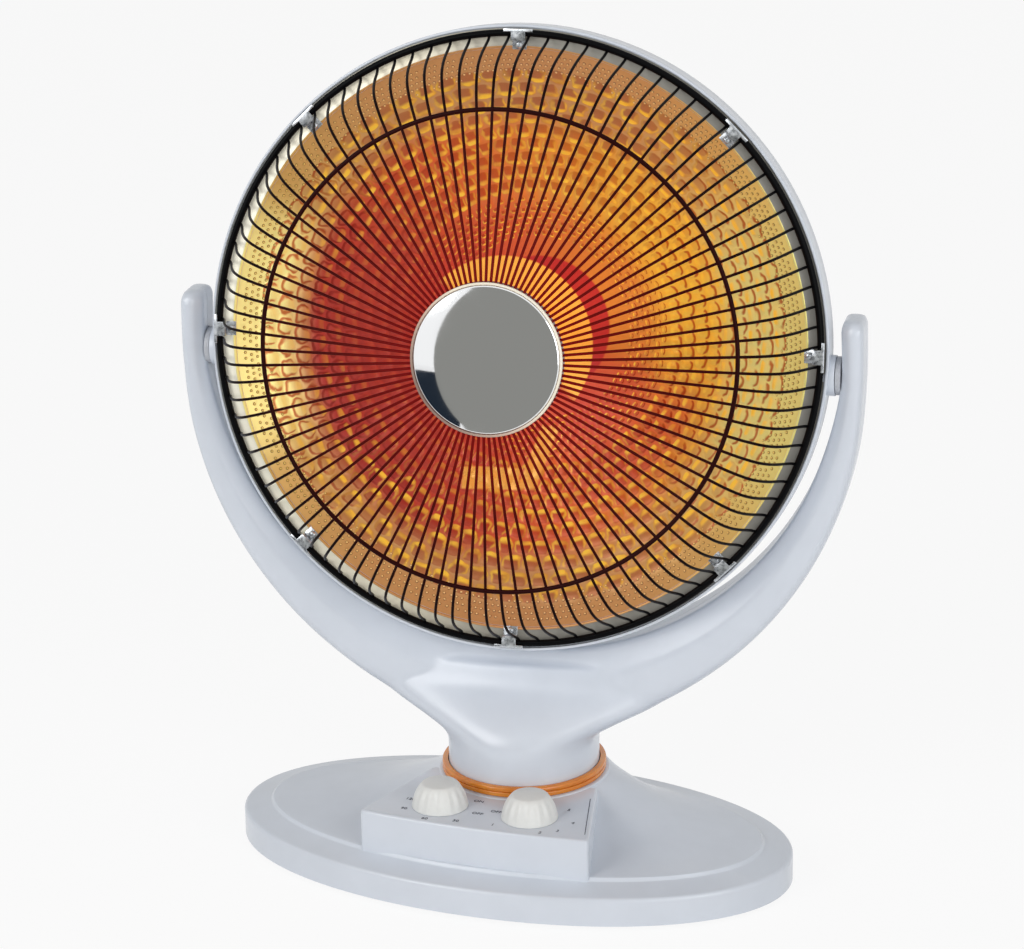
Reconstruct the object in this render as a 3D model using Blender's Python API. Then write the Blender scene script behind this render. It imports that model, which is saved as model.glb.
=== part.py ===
"""A table-top parabolic heater: a dish head tilts in a half-moon yoke, which swings on an oval base.

Lengths are metres and +Z is up, and the dish faces -Y. The origin is the middle of the base
plate's underside. Sizes of the base and yoke are measured from the floor and from the neck
axis, about which the yoke swings. Sizes of the head are measured from its guard ring's plane.
"""

import math

import bmesh
import bpy
from mathutils import Matrix

# How the pieces fit
GAP = 0.0003  # clearance between two pieces that touch
OVERRUN = 0.004  # how far a cutter passes the face that it cuts
SMOOTH_ANGLE = math.radians(40)

# The pose it stands in
SWING_AT_REST = math.radians(7)
PITCH_AT_REST = math.radians(8.4)

# Oval base cover
BASE_HALF_LENGTH = 0.181
BASE_HALF_DEPTH = 0.0986
BASE_POWER = 2.05  # 2 is an ellipse, more is squarer
BASE_AHEAD = 0.0216  # the oval's centre lies this far in front of the neck axis
BASE_SEGMENTS = 40
COVER_WALL = 0.0025
SKIRT_BOTTOM = 0.0025
SKIRT_TOP = 0.0208
SKIRT_ROUND = 0.0032
SKIRT_RISE = 0.0032  # from the skirt's edge in to the ledge's foot
LEDGE_INSET = 0.0191
LEDGE_STEP_RUN = 0.0014
LEDGE_STEP_RISE = 0.0022
BOSS_RISE = 0.0258  # from the ledge up to the boss
BOSS_LAND = 0.0023  # flat left on the boss outside the trim ring
BOSS_ROUND = 0.0012
SLOPE_SHARES = ((0.25, 0.06), (0.58, 0.25), (0.86, 0.65))  # of the way in, and of the rise

# Control box on the front of the cover
BOX_INSET = 0.0252  # from the skirt's front back to the box's front face
BOX_BULGE = 0.0045
BOX_HALF_FRONT = 0.0750
BOX_BACK = 0.0200
BOX_HALF_BACK = 0.0560
BOX_DROP = 0.0006  # the box's top lies this far under the boss
BOX_SINK = 0.0007  # the box's underside lies this far over the skirt's edge
BOX_EDGE = 0.0022
BOX_FRONT_STEPS = 6

# Base plate, feet and cord gland
PLATE_THICKNESS = 0.0020
FOOT_RADIUS = 0.0080
FOOT_EDGE = 0.0006
FOOT_SIDE_INSET = 0.0510
FOOT_END_INSET = 0.0466
GLAND_RISE = 0.0087
GLAND_BODY_RADIUS = 0.0045
GLAND_FLANGE_REACH = 0.0020
GLAND_WALL = 0.0015
GLAND_FLANGE = 0.0022
GLAND_NOSE = 0.0022
GLAND_INSIDE = 0.0050

# Rotary controls
KNOB_SPACING = 0.0119  # from the middle of the box to the nearer side of a knob
KNOB_INSET = 0.0220
KNOB_RADIUS = 0.0176
KNOB_HEIGHT = 0.0152
KNOB_TAPER = 0.0064
KNOB_FLUTES = 15
KNOB_FLUTE_DEPTH = 0.0006
KNOB_EDGE = 0.0010
KNOB_ROOF = 0.0042  # left over the shaft's socket
SHAFT_RADIUS = 0.0030
SHAFT_CLEARANCE = 0.0013
TIMER_SIDE = 0.0340
TIMER_DEPTH = 0.0250
MODE_RADIUS = 0.0165
MODE_DEPTH = 0.0190

# Tip-over switch
TIP_INSET = 0.0760
TIP_Y = -0.0350
TIP_LENGTH = 0.0200
TIP_WIDTH = 0.0120
TIP_HEIGHT = 0.0160
PLUNGER_RADIUS = 0.0030
PLUNGER_LENGTH = 0.0118
PLUNGER_ROUND = 0.0010
PLUNGER_COLLAR_REACH = 0.0010
PLUNGER_COLLAR = 0.0015
PLUNGER_ROOM = 0.0100  # depth of the bore that the collar slides in

# Swivel
TUBE_RADIUS = 0.0140
TUBE_WALL = 0.0040
TUBE_STANDS = 0.0084  # the tube's top above the flange's underside
TUBE_CLEARANCE = 0.0028  # between the crank disc and the tube's foot
FLANGE_THICKNESS = 0.0030
WASHER_REACH = 0.0200
WASHER_THICKNESS = 0.0010
RING_NUT_REACH = 0.0060
RING_NUT_HEIGHT = 0.0060

# Trim ring round the neck's foot
TRIM_WIDTH = 0.0036
TRIM_HEIGHT = 0.0062
TRIM_GROOVE = 0.0010
TRIM_CLEARANCE = 0.0006
# Out share and rise share of each point, where a negative one marks the groove's bottom
TRIM_OUTLINE_SHARES = (
    (0, 0), (0.95, 0), (1, 0.20), (1, 0.40), (-1, 0.50), (1, 0.60), (0.8, 1), (0, 1),
)

# Swing drive: a motor, a crank disc and a slotted lever on the swivel tube
CRANK_DISTANCE = 0.0240
CRANK_THROW_SHARE = 0.57375  # of the distance: the sine of the widest swing to each side
CRANK_PIN_RADIUS = 0.0025
CRANK_PIN_EDGE = 0.00093  # left on the disc outside the pin
CRANK_PIN_SPARE = 0.0029  # how far the pin stands through the lever
CRANK_DISC = 0.0028
CRANK_RATIO = 2.9
MOTOR_RADIUS = 0.0240
MOTOR_HEIGHT = 0.0150
MOTOR_NOSE = 0.0010
MOTOR_NOSE_RADIUS = 0.0060
MOTOR_EAR_STICK_OUT = 0.0070
MOTOR_EAR_WIDTH = 0.0100
MOTOR_EAR = 0.0016
LEVER_THICKNESS = 0.0030
LEVER_HUB_WALL = 0.0050
LEVER_HUB_HEIGHT = 0.0060
LEVER_SLOT_INNER_SPARE = 0.0030
LEVER_SLOT_OUTER_SPARE = 0.00423
LEVER_SLOT_PLAY = 0.0018
LEVER_END = 0.0040
LEVER_SIDE = 0.0041

# Yoke: half-moon crescent, upright arms and round neck
ARM_THICKNESS_TOP = 0.0140
ARM_THICKNESS_FOOT = 0.0625
YOKE_CLOSER_AT_FOOT = 0.0195  # the crescent's inner line comes this much nearer under the head
YOKE_INNER_POWER = 0.7
YOKE_OUTER_POWER = 2.0
YOKE_HALF_DEPTH_TOP = 0.0150
YOKE_HALF_DEPTH_FOOT = 0.0210
CRESCENT_DIP = 0.0035  # how far the crescent's lowest point reaches into the straight neck
ARM_RISE = 0.0370  # the arms' tips above the tilt axis
YOKE_WALL = 0.0026
YOKE_STEPS = 8
TIP_ROUND = 0.0075
TIP_SHARES = ((0.0, 1.0), (0.60, 0.86), (1.0, 0.55))
ARM_SECTION_SHARES = (
    (1.0, -0.50), (0.82, -0.88), (0.45, -1.0), (-0.20, -1.0), (-1.0, -0.62),
    (-1.0, 0.70), (-0.70, 1.0), (0.55, 1.0), (0.88, 0.85), (1.0, 0.50),
)
ARM_HOLLOW_SHARES = (
    (1.0, -0.55), (0.55, -0.97), (-0.20, -0.97), (-1.0, -0.62), (-1.0, 0.80), (0.65, 0.97), (1.0, 0.50),
)
NECK_RADIUS = 0.0480
NECK_STRAIGHT = 0.0224
NECK_SHOULDER = 0.0500
NECK_FLARE = 0.0580  # how much wider than the neck the shoulder ends
NECK_SHOULDER_DEPTH = 0.0270  # how much shallower than the neck the shoulder ends
# Each loop of the shoulder: its share of the rise, of the flare and of the loss in depth
NECK_SHOULDER_SHARES = (
    (0, 0, 0), (0.14, 0.09, 0.04), (0.28, 0.31, 0.16), (0.44, 0.60, 0.38), (0.60, 0.82, 0.62),
    (0.76, 0.95, 0.84), (1, 0.93, 1),
)
NECK_SEAT_RIB = 0.0104  # width of the rib that stands on the swivel tube's flange
NECK_SEAT_HEIGHT = 0.0080
NECK_SEGMENTS = 24
YOKE_SCREW_INSET = 0.0045

# Tilt axis and its hardware
TILT_AXIS_Y = 0.0060
TILT_RISE = 0.0050  # the tilt axis above the crescent's centre
PIVOT_BOSS_RADIUS = 0.0125
PIVOT_BOSS_REACH = 0.0030  # how far the boss stands out of the housing
PIVOT_BOSS_ROOT = 0.0051  # how far the boss reaches in through the housing's band
PIVOT_WASHER_INSET = 0.0007
PIVOT_CLEARANCE = 0.0035  # between boss and arm, filled by the washer
PIVOT_SEAT = 0.0003  # depth of the flat that seats the washer in the arm
PIN_RADIUS = 0.0040
PIN_HEAD_REACH = 0.0028
PIN_HEAD = 0.0030
PIN_NUT_REACH = 0.0018
PIN_NUT = 0.0055
PIN_NUT_INSET = 0.0032

# Head: where its ring plane lies from the tilt axis
RING_AHEAD = 0.0150
RING_ABOVE = 0.0130
HEAD_SEGMENTS = 40

# Guard grille
RING_OUTER_RADIUS = 0.1905
RING_WIRE_RADIUS = 0.0028
WIRE_COUNT = 96
WIRE_RADIUS = 0.0012
MID_RING_INSET = 0.0450
MID_RING_WIRE_RADIUS = 0.0016
MID_RING_AHEAD = 0.0476
WIRE_BEND_AHEAD = 0.0318
WIRE_CORNERS = (0, math.tau / 3, -math.tau / 3)  # a three-sided wire with one corner in front
WIRE_TUCK = 0.0026  # how far the wires reach in under the cap
WIRE_END_AHEAD = 0.0726

# Centre cap, its back plate and nut
CAP_RADIUS = 0.0446
CAP_EDGE = 0.0016
CAP_DOME = 0.0030
CAP_DOME_SHARES = (0.93, 0.7, 0.4)
CAP_STUD_RADIUS = 0.0030
CAP_STUD_LENGTH = 0.0090
CAP_NUT_REACH = 0.0028
CAP_NUT = 0.0032
CAP_PLATE_REACH = 0.0017
CAP_PLATE = 0.0014

# Reflector
FLANGE_WIDTH = 0.0133
DISH_DEPTH = 0.0720
DISH_LIP_DROP = 0.0018
REFLECTOR_WALL = 0.0010
DISH_HOLE_CLEARANCE = 0.0015
DISH_STEPS = 5

# Rear housing
HOUSING_RIM = 0.0025  # how far the housing stands out past the guard's ring
HOUSING_WALL = 0.0022
HOUSING_SEAT_CLEARANCE = 0.0008
HOUSING_LIP_BACK = 0.0005
LEDGE_CLEARANCE = 0.0004
LEDGE_THICKNESS = 0.0040
BAND_BACK = 0.0200
HOUSING_ROOM = 0.0270  # depth behind the dish, for the socket
HOUSING_BACK_ROOM = 0.0220  # flat back outside the bracket's foot
BOWL_OUT_SHARES = ((0.975, 0.17), (0.90, 0.48), (0.76, 0.77), (0.56, 0.945))
VENT_COUNT = 10
VENT_INSET = 0.0060
VENT_LENGTH = 0.0370
VENT_WIDTH = 0.0060
VENT_DEPTH = 0.0198

# Clips and their screws
CLIP_COUNT = 8
CLIP_SHEET = 0.0008
CLIP_WIDTH = 0.0088
CLIP_BAR_WIDTH = 0.0180
CLIP_BAR = 0.0018
CLIP_FOOT_INSET = 0.0006
CLIP_SCREW_INSET = 0.0030
SCREW_RADIUS = 0.0014
SCREW_HEAD_REACH = 0.0008
SCREW_HEAD = 0.0018
SCREW_HEAD_TOP_SHARE = 0.8
SCREW_LENGTH = 0.0070
SCREW_SEGMENTS = 6

# Heating element
SOCKET_RADIUS = 0.0155
SOCKET_FLANGE_REACH = 0.0045
SOCKET_FLANGE = 0.0030
SOCKET_BACK_CLEARANCE = 0.0038
SOCKET_STANDS = 0.0185  # the socket's front before the dish's vertex
SOCKET_SEGMENTS = 14
BRACKET_ROOM = 0.0145
BRACKET_FOOT_REACH = 0.0080
BRACKET_SHEET = 0.0014
BOBBIN_SHORT = 0.0086  # the bobbin ends this far behind the guard wires' inner ends
BOBBIN_FOOT_RADIUS = 0.0090
BOBBIN_TOP_RADIUS = 0.0130
BOBBIN_RIM = 0.0030
BOBBIN_RIM_REACH = 0.0062
COIL_TUBE_RADIUS = 0.0020
COIL_TURNS = 10
COIL_POINTS_PER_TURN = 8
COIL_INSET = 0.0050
CUTOUT_RADIUS = 0.0080
CUTOUT_HEIGHT = 0.0100
CUTOUT_INSET = 0.0015
CUTOUT_TURN = math.radians(-33.7)

# The base and its controls, from the sizes above
BASE_CENTRE_Y = -BASE_AHEAD
LEDGE_FOOT = SKIRT_TOP + SKIRT_RISE
LEDGE_TOP = LEDGE_FOOT + LEDGE_STEP_RISE
BOSS_TOP = LEDGE_TOP + BOSS_RISE
BOSS_RADIUS = NECK_RADIUS + TRIM_CLEARANCE + TRIM_WIDTH + BOSS_LAND
BOX_FRONT = BASE_AHEAD + BASE_HALF_DEPTH - BOX_INSET  # ahead of the neck axis
BOX_TOP = BOSS_TOP - BOX_DROP
BOX_BOTTOM = SKIRT_TOP + BOX_SINK
PLATE_BOTTOM = SKIRT_BOTTOM + GAP
FOOT_X = BASE_HALF_LENGTH - FOOT_SIDE_INSET
FOOT_Y = BASE_HALF_DEPTH - FOOT_END_INSET
GLAND_HEIGHT = SKIRT_BOTTOM + GLAND_RISE
GLAND_FLANGE_RADIUS = GLAND_BODY_RADIUS + GLAND_FLANGE_REACH
GLAND_BORE_RADIUS = GLAND_BODY_RADIUS - GLAND_WALL
KNOB_X = KNOB_RADIUS + KNOB_SPACING
KNOB_AHEAD = BOX_FRONT - KNOB_INSET
KNOB_TOP_RADIUS = KNOB_RADIUS - KNOB_TAPER
KNOB_SOCKET = KNOB_HEIGHT - KNOB_ROOF
SHAFT_HOLE_RADIUS = SHAFT_RADIUS + SHAFT_CLEARANCE
TIP_X = TIP_INSET - BASE_HALF_LENGTH
PLUNGER_COLLAR_RADIUS = PLUNGER_RADIUS + PLUNGER_COLLAR_REACH

# The swivel and its drive
FLANGE_BOTTOM = BOSS_TOP + GAP + WASHER_THICKNESS + GAP
TUBE_BORE = TUBE_RADIUS - TUBE_WALL
TUBE_TOP = FLANGE_BOTTOM + TUBE_STANDS
WASHER_RADIUS = TUBE_RADIUS + WASHER_REACH
RING_NUT_RADIUS = TUBE_RADIUS + RING_NUT_REACH
MOTOR_TOP = PLATE_BOTTOM + PLATE_THICKNESS + GAP + MOTOR_HEIGHT
MOTOR_EAR_REACH = MOTOR_RADIUS + MOTOR_EAR_STICK_OUT
CRANK_PIN_THROW = CRANK_DISTANCE * CRANK_THROW_SHARE
CRANK_DISC_RADIUS = CRANK_PIN_THROW + CRANK_PIN_RADIUS + CRANK_PIN_EDGE
DISC_BOTTOM = MOTOR_TOP + MOTOR_NOSE + GAP
TUBE_BOTTOM = DISC_BOTTOM + CRANK_DISC + TUBE_CLEARANCE
LEVER_BOTTOM = TUBE_BOTTOM + GAP
CRANK_PIN_HEIGHT = TUBE_CLEARANCE + GAP + LEVER_THICKNESS + CRANK_PIN_SPARE
LEVER_HUB_RADIUS = TUBE_RADIUS + LEVER_HUB_WALL
LEVER_SLOT_START = CRANK_DISTANCE - LEVER_SLOT_INNER_SPARE
LEVER_SLOT_END = CRANK_DISTANCE + CRANK_PIN_THROW + LEVER_SLOT_OUTER_SPARE
LEVER_SLOT_WIDTH = 2 * CRANK_PIN_RADIUS + LEVER_SLOT_PLAY
LEVER_REACH = LEVER_SLOT_END + LEVER_END
LEVER_WIDTH = LEVER_SLOT_WIDTH + 2 * LEVER_SIDE

# The guard, the reflector and the housing behind them
RING_CENTRE_RADIUS = RING_OUTER_RADIUS - RING_WIRE_RADIUS
RING_HALF_HEIGHT = RING_WIRE_RADIUS * math.sin(math.pi / 3)  # the ring's section is a hexagon that lies flat
MID_RING_RADIUS = RING_OUTER_RADIUS - MID_RING_INSET
WIRE_END_RADIUS = CAP_RADIUS - WIRE_TUCK
CAP_PLATE_RADIUS = CAP_RADIUS + CAP_PLATE_REACH
CAP_NUT_RADIUS = CAP_STUD_RADIUS + CAP_NUT_REACH
LIP_RADIUS = RING_OUTER_RADIUS - FLANGE_WIDTH
WIRE_BEND_RADIUS = LIP_RADIUS
FLANGE_FRONT = -RING_HALF_HEIGHT - GAP  # front face of the reflector's flange
DISH_VERTEX = FLANGE_FRONT - DISH_LIP_DROP - DISH_DEPTH
DISH_HOLE_RADIUS = SOCKET_RADIUS + DISH_HOLE_CLEARANCE
HOUSING_RADIUS = RING_OUTER_RADIUS + HOUSING_RIM
HOUSING_LIP_RADIUS = RING_OUTER_RADIUS + HOUSING_SEAT_CLEARANCE
LEDGE_RADIUS = LIP_RADIUS + REFLECTOR_WALL + LEDGE_CLEARANCE
LEDGE_FRONT = FLANGE_FRONT - REFLECTOR_WALL - GAP
HOUSING_DEPTH = DISH_DEPTH + HOUSING_ROOM
HOUSING_INSIDE = -HOUSING_DEPTH + HOUSING_WALL
CLIP_BAR_START = RING_OUTER_RADIUS - CLIP_BAR
CLIP_FOOT_START = LIP_RADIUS + CLIP_FOOT_INSET
CLIP_SCREW_RADIUS = CLIP_FOOT_START + CLIP_SCREW_INSET
SCREW_HEAD_RADIUS = SCREW_RADIUS + SCREW_HEAD_REACH
SCREW_HOLE_RADIUS = SCREW_RADIUS + GAP

# The heating element and what carries it
SOCKET_FLANGE_RADIUS = SOCKET_RADIUS + SOCKET_FLANGE_REACH
SOCKET_BACK = HOUSING_DEPTH - HOUSING_WALL - SOCKET_BACK_CLEARANCE
SOCKET_FRONT = DISH_VERTEX + SOCKET_STANDS
BRACKET_RADIUS = SOCKET_RADIUS + BRACKET_ROOM
BRACKET_FOOT_RADIUS = BRACKET_RADIUS + BRACKET_FOOT_REACH
HOUSING_BACK_RADIUS = BRACKET_FOOT_RADIUS + HOUSING_BACK_ROOM
VENT_START = HOUSING_BACK_RADIUS + VENT_INSET
VENT_END = VENT_START + VENT_LENGTH
CUTOUT_AWAY = HOUSING_BACK_RADIUS - CUTOUT_RADIUS - CUTOUT_INSET
BOBBIN_TOP = WIRE_END_AHEAD - BOBBIN_SHORT

# The pivots, and the yoke round them
PIVOT_BOSS_FACE = HOUSING_RADIUS + PIVOT_BOSS_REACH
PIVOT_WASHER_RADIUS = PIVOT_BOSS_RADIUS - PIVOT_WASHER_INSET
PIN_HEAD_RADIUS = PIN_RADIUS + PIN_HEAD_REACH
PIN_NUT_RADIUS = PIN_RADIUS + PIN_NUT_REACH
YOKE_INNER_TOP = PIVOT_BOSS_FACE + PIVOT_CLEARANCE
YOKE_INNER_FOOT = YOKE_INNER_TOP - YOKE_CLOSER_AT_FOOT
YOKE_OUTER_TOP = YOKE_INNER_TOP + ARM_THICKNESS_TOP
YOKE_OUTER_FOOT = YOKE_INNER_FOOT + ARM_THICKNESS_FOOT
ARM_INNER_WALL = YOKE_INNER_TOP + YOKE_WALL
NECK_BOTTOM = FLANGE_BOTTOM
NECK_STRAIGHT_TOP = NECK_BOTTOM + NECK_STRAIGHT
NECK_SHOULDER_TOP = NECK_STRAIGHT_TOP + NECK_SHOULDER
NECK_SEAT_RADIUS = NECK_RADIUS - YOKE_WALL - NECK_SEAT_RIB
YOKE_SCREW_PLACE = NECK_SEAT_RADIUS + YOKE_SCREW_INSET
YOKE_CENTRE_Z = NECK_STRAIGHT_TOP - CRESCENT_DIP + YOKE_OUTER_FOOT
TILT_AXIS_Z = YOKE_CENTRE_Z + TILT_RISE
YOKE_TOP = TILT_AXIS_Z + ARM_RISE

objects = bpy.data.objects
for leftover in list(objects):
    objects.remove(leftover, do_unlink=True)


def make_material(name, colour, roughness, metallic=0.0):
    material = bpy.data.materials.new(name)
    material.use_nodes = True
    shader = material.node_tree.nodes["Principled BSDF"]
    shader.inputs["Base Color"].default_value = (*colour, 1)
    shader.inputs["Roughness"].default_value = roughness
    shader.inputs["Metallic"].default_value = metallic
    return material


WHITE_PLASTIC = make_material("white_plastic", (0.80, 0.82, 0.86), 0.28)
IVORY_PLASTIC = make_material("ivory_plastic", (0.82, 0.81, 0.76), 0.35)
ORANGE_PLASTIC = make_material("orange_plastic", (0.75, 0.30, 0.04), 0.35)
GREY_NYLON = make_material("grey_nylon", (0.62, 0.64, 0.66), 0.45)
DARK_PLASTIC = make_material("dark_plastic", (0.06, 0.06, 0.07), 0.5)
BLACK_RUBBER = make_material("black_rubber", (0.03, 0.03, 0.03), 0.8)
BLACK_WIRE = make_material("black_wire", (0.015, 0.015, 0.015), 0.35, 0.3)
POLISHED_DISH = make_material("polished_dish", (0.86, 0.50, 0.22), 0.15, 1.0)
CHROME = make_material("chrome", (0.75, 0.76, 0.78), 0.08, 1.0)
ZINC = make_material("zinc", (0.62, 0.64, 0.66), 0.3, 1.0)
STEEL = make_material("steel", (0.45, 0.46, 0.48), 0.4, 1.0)
CERAMIC = make_material("ceramic", (0.85, 0.82, 0.74), 0.6)
GLOWING_WIRE = make_material("glowing_wire", (0.95, 0.30, 0.08), 0.5, 0.4)


def add_frame(name, parent=None, location=(0, 0, 0), rotation=(0, 0, 0)):
    frame = objects.new(name, None)
    bpy.context.scene.collection.objects.link(frame)
    frame.parent = parent
    frame.location = location
    frame.rotation_euler = rotation
    return frame


def add_body(name, shape, material, parent):
    """Turns a bmesh into a named object with outward faces."""
    bmesh.ops.recalc_face_normals(shape, faces=shape.faces)
    mesh = bpy.data.meshes.new(name)
    shape.to_mesh(mesh)
    shape.free()
    mesh.shade_smooth()
    mesh.set_sharp_from_angle(angle=SMOOTH_ANGLE)
    body = objects.new(name, mesh)
    bpy.context.scene.collection.objects.link(body)
    body.parent = parent
    if material:
        mesh.materials.append(material)
    else:
        body.hide_render = True
        body.display_type = "WIRE"
    return body


def combine(body, tool, operation):
    step = body.modifiers.new(f"{operation} {tool.name}", "BOOLEAN")
    step.operation = operation
    step.object = tool


def cut(body, *tools):
    for tool in tools:
        combine(body, tool, "DIFFERENCE")


def fuse(body, *tools):
    for tool in tools:
        combine(body, tool, "UNION")


def turned(name, outline, material, parent, segments=HEAD_SEGMENTS):
    """Spins (radius, height) pairs about local Z. An outline off the axis closes on itself."""
    shape = bmesh.new()
    start = math.pi / segments
    points = [shape.verts.new((r * math.cos(start), r * math.sin(start), z)) for r, z in outline]
    on_axis = outline[0][0] == 0 and outline[-1][0] == 0
    ends = points[1:] if on_axis else points[1:] + points[:1]
    edges = [shape.edges.new(pair) for pair in zip(points, ends)]
    bmesh.ops.spin(
        shape,
        geom=points + edges,
        cent=(0, 0, 0),
        axis=(0, 0, 1),
        angle=math.tau,
        steps=segments,
        use_merge=True,
    )
    bmesh.ops.remove_doubles(shape, verts=shape.verts, dist=GAP / 100)
    return add_body(name, shape, material, parent)


def lofted(name, loops, material, parent, ring=False):
    """Skins equal loops of points, with both ends capped unless the loops form a ring."""
    shape = bmesh.new()
    rows = [[shape.verts.new(point) for point in loop] for loop in loops]
    followers = rows[1:] + rows[:1] if ring else rows[1:]
    for row, after in zip(rows, followers):
        for i in range(len(row)):
            shape.faces.new((row[i - 1], row[i], after[i], after[i - 1]))
    # Four corners that don't lie flat are split here, so that every cut sees the same surface.
    bmesh.ops.triangulate(shape, faces=shape.faces)
    if not ring:
        shape.faces.new(rows[0])
        shape.faces.new(rows[-1])
    return add_body(name, shape, material, parent)


def prism(name, outline, low, high, material, parent):
    """Extrudes a flat outline of (x, y) from one height to another."""
    return lofted(name, [[(x, y, z) for x, y in outline] for z in (low, high)], material, parent)


def block(name, corner, opposite, material, parent):
    x0, y0, z0 = corner
    x1, y1, z1 = opposite
    return prism(name, ((x0, y0), (x1, y0), (x1, y1), (x0, y1)), z0, z1, material, parent)


def rod(name, radius, low, high, material, parent, segments=16):
    return turned(name, ((0, low), (radius, low), (radius, high), (0, high)), material, parent, segments)


def tube_outline(bore, radius, low, high):
    return (bore, low), (radius, low), (radius, high), (bore, high)


def oval(inset, z):
    """A loop of the base's oval outline, drawn in by inset."""
    loop = []
    for step in range(BASE_SEGMENTS):
        angle = math.tau * step / BASE_SEGMENTS
        cosine = math.cos(angle)
        sine = math.sin(angle)
        x = math.copysign(abs(cosine) ** (2 / BASE_POWER), cosine)
        y = math.copysign(abs(sine) ** (2 / BASE_POWER), sine)
        loop.append(((BASE_HALF_LENGTH - inset) * x, BASE_CENTRE_Y + (BASE_HALF_DEPTH - inset) * y, z))
    return loop


def circle(radius, z, segments=BASE_SEGMENTS):
    angles = [math.tau * step / segments for step in range(segments)]
    return [(radius * math.cos(angle), radius * math.sin(angle), z) for angle in angles]


def between(loop, other, share, height_share):
    """A loop part of the way from one to another, with its own share of the rise."""
    blended = []
    for (x0, y0, z0), (x1, y1, z1) in zip(loop, other):
        blended.append((x0 + (x1 - x0) * share, y0 + (y1 - y0) * share, z0 + (z1 - z0) * height_share))
    return blended


def box_outline(inset, back, z):
    """A loop of the control box: a trapezoid whose front bulges, drawn in by inset and ending at y = back."""
    front_half = BOX_HALF_FRONT - inset
    back_half = BOX_HALF_BACK - inset
    points = []
    for step in range(BOX_FRONT_STEPS + 1):
        share = 2 * step / BOX_FRONT_STEPS - 1
        points.append((front_half * share, -BOX_FRONT + inset - BOX_BULGE * (1 - share**2), z))
    return points + [(back_half, back, z), (-back_half, back, z)]


def make_base_cover(parent):
    """A moulded shell: oval skirt, stepped ledge, slope up to the round boss, and the control box."""
    wall = COVER_WALL
    ledge_out = oval(LEDGE_INSET, LEDGE_TOP)
    ledge_in = oval(LEDGE_INSET + wall, LEDGE_TOP - wall)
    boss_out = circle(BOSS_RADIUS, BOSS_TOP - BOSS_ROUND)
    boss_in = circle(BOSS_RADIUS - wall, BOSS_TOP - wall)
    eased = SKIRT_ROUND * (1 - math.sqrt(0.5))
    outside = [
        oval(0, SKIRT_BOTTOM), oval(0, SKIRT_TOP - SKIRT_ROUND), oval(eased, SKIRT_TOP - eased),
        oval(SKIRT_ROUND, SKIRT_TOP), oval(LEDGE_INSET - LEDGE_STEP_RUN, LEDGE_FOOT), ledge_out,
    ]
    outside += [between(ledge_out, boss_out, share, rise) for share, rise in SLOPE_SHARES]
    outside += [boss_out, circle(BOSS_RADIUS - BOSS_ROUND, BOSS_TOP)]
    cover = lofted("base_cover", outside, WHITE_PLASTIC, parent)
    inside = [oval(wall, SKIRT_BOTTOM - OVERRUN), oval(wall, SKIRT_TOP - wall - SKIRT_ROUND)]
    inside += [oval(wall + SKIRT_ROUND, SKIRT_TOP - wall), ledge_in]
    inside += [between(ledge_in, boss_in, share, rise) for share, rise in SLOPE_SHARES] + [boss_in]
    hollow = lofted("cover_hollow", inside, None, parent)

    bent = BOX_EDGE * (1 - math.sqrt(0.5))
    box_levels = ((0, BOX_BOTTOM), (0, BOX_TOP - BOX_EDGE), (bent, BOX_TOP - bent), (BOX_EDGE, BOX_TOP))
    box = lofted("box_form", [box_outline(inset, -BOX_BACK, z) for inset, z in box_levels], None, parent)
    hollow_back = -BOX_BACK + OVERRUN
    box_hollow = lofted(
        "box_hollow", [box_outline(wall, hollow_back, z) for z in (0, BOX_TOP - wall)], None, parent
    )
    bore = rod("tube_bore", TUBE_RADIUS + GAP, LEDGE_TOP, BOSS_TOP + OVERRUN, None, parent, 20)
    fuse(cover, box)
    cut(cover, hollow, box_hollow, bore)
    for side in (-1, 1):
        hole = rod("shaft_hole", SHAFT_HOLE_RADIUS, BOX_TOP - wall - OVERRUN, BOX_TOP + OVERRUN, None, parent)
        hole.location = (side * KNOB_X, -KNOB_AHEAD, 0)
        cut(cover, hole)
    back = BASE_CENTRE_Y + BASE_HALF_DEPTH
    gland_hole = rod("gland_hole", GLAND_BODY_RADIUS + GAP, -OVERRUN, wall + OVERRUN, None, parent)
    gland_hole.location = (0, back, GLAND_HEIGHT)
    gland_hole.rotation_euler = (math.pi / 2, 0, 0)
    cut(cover, gland_hole)
    return cover


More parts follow.
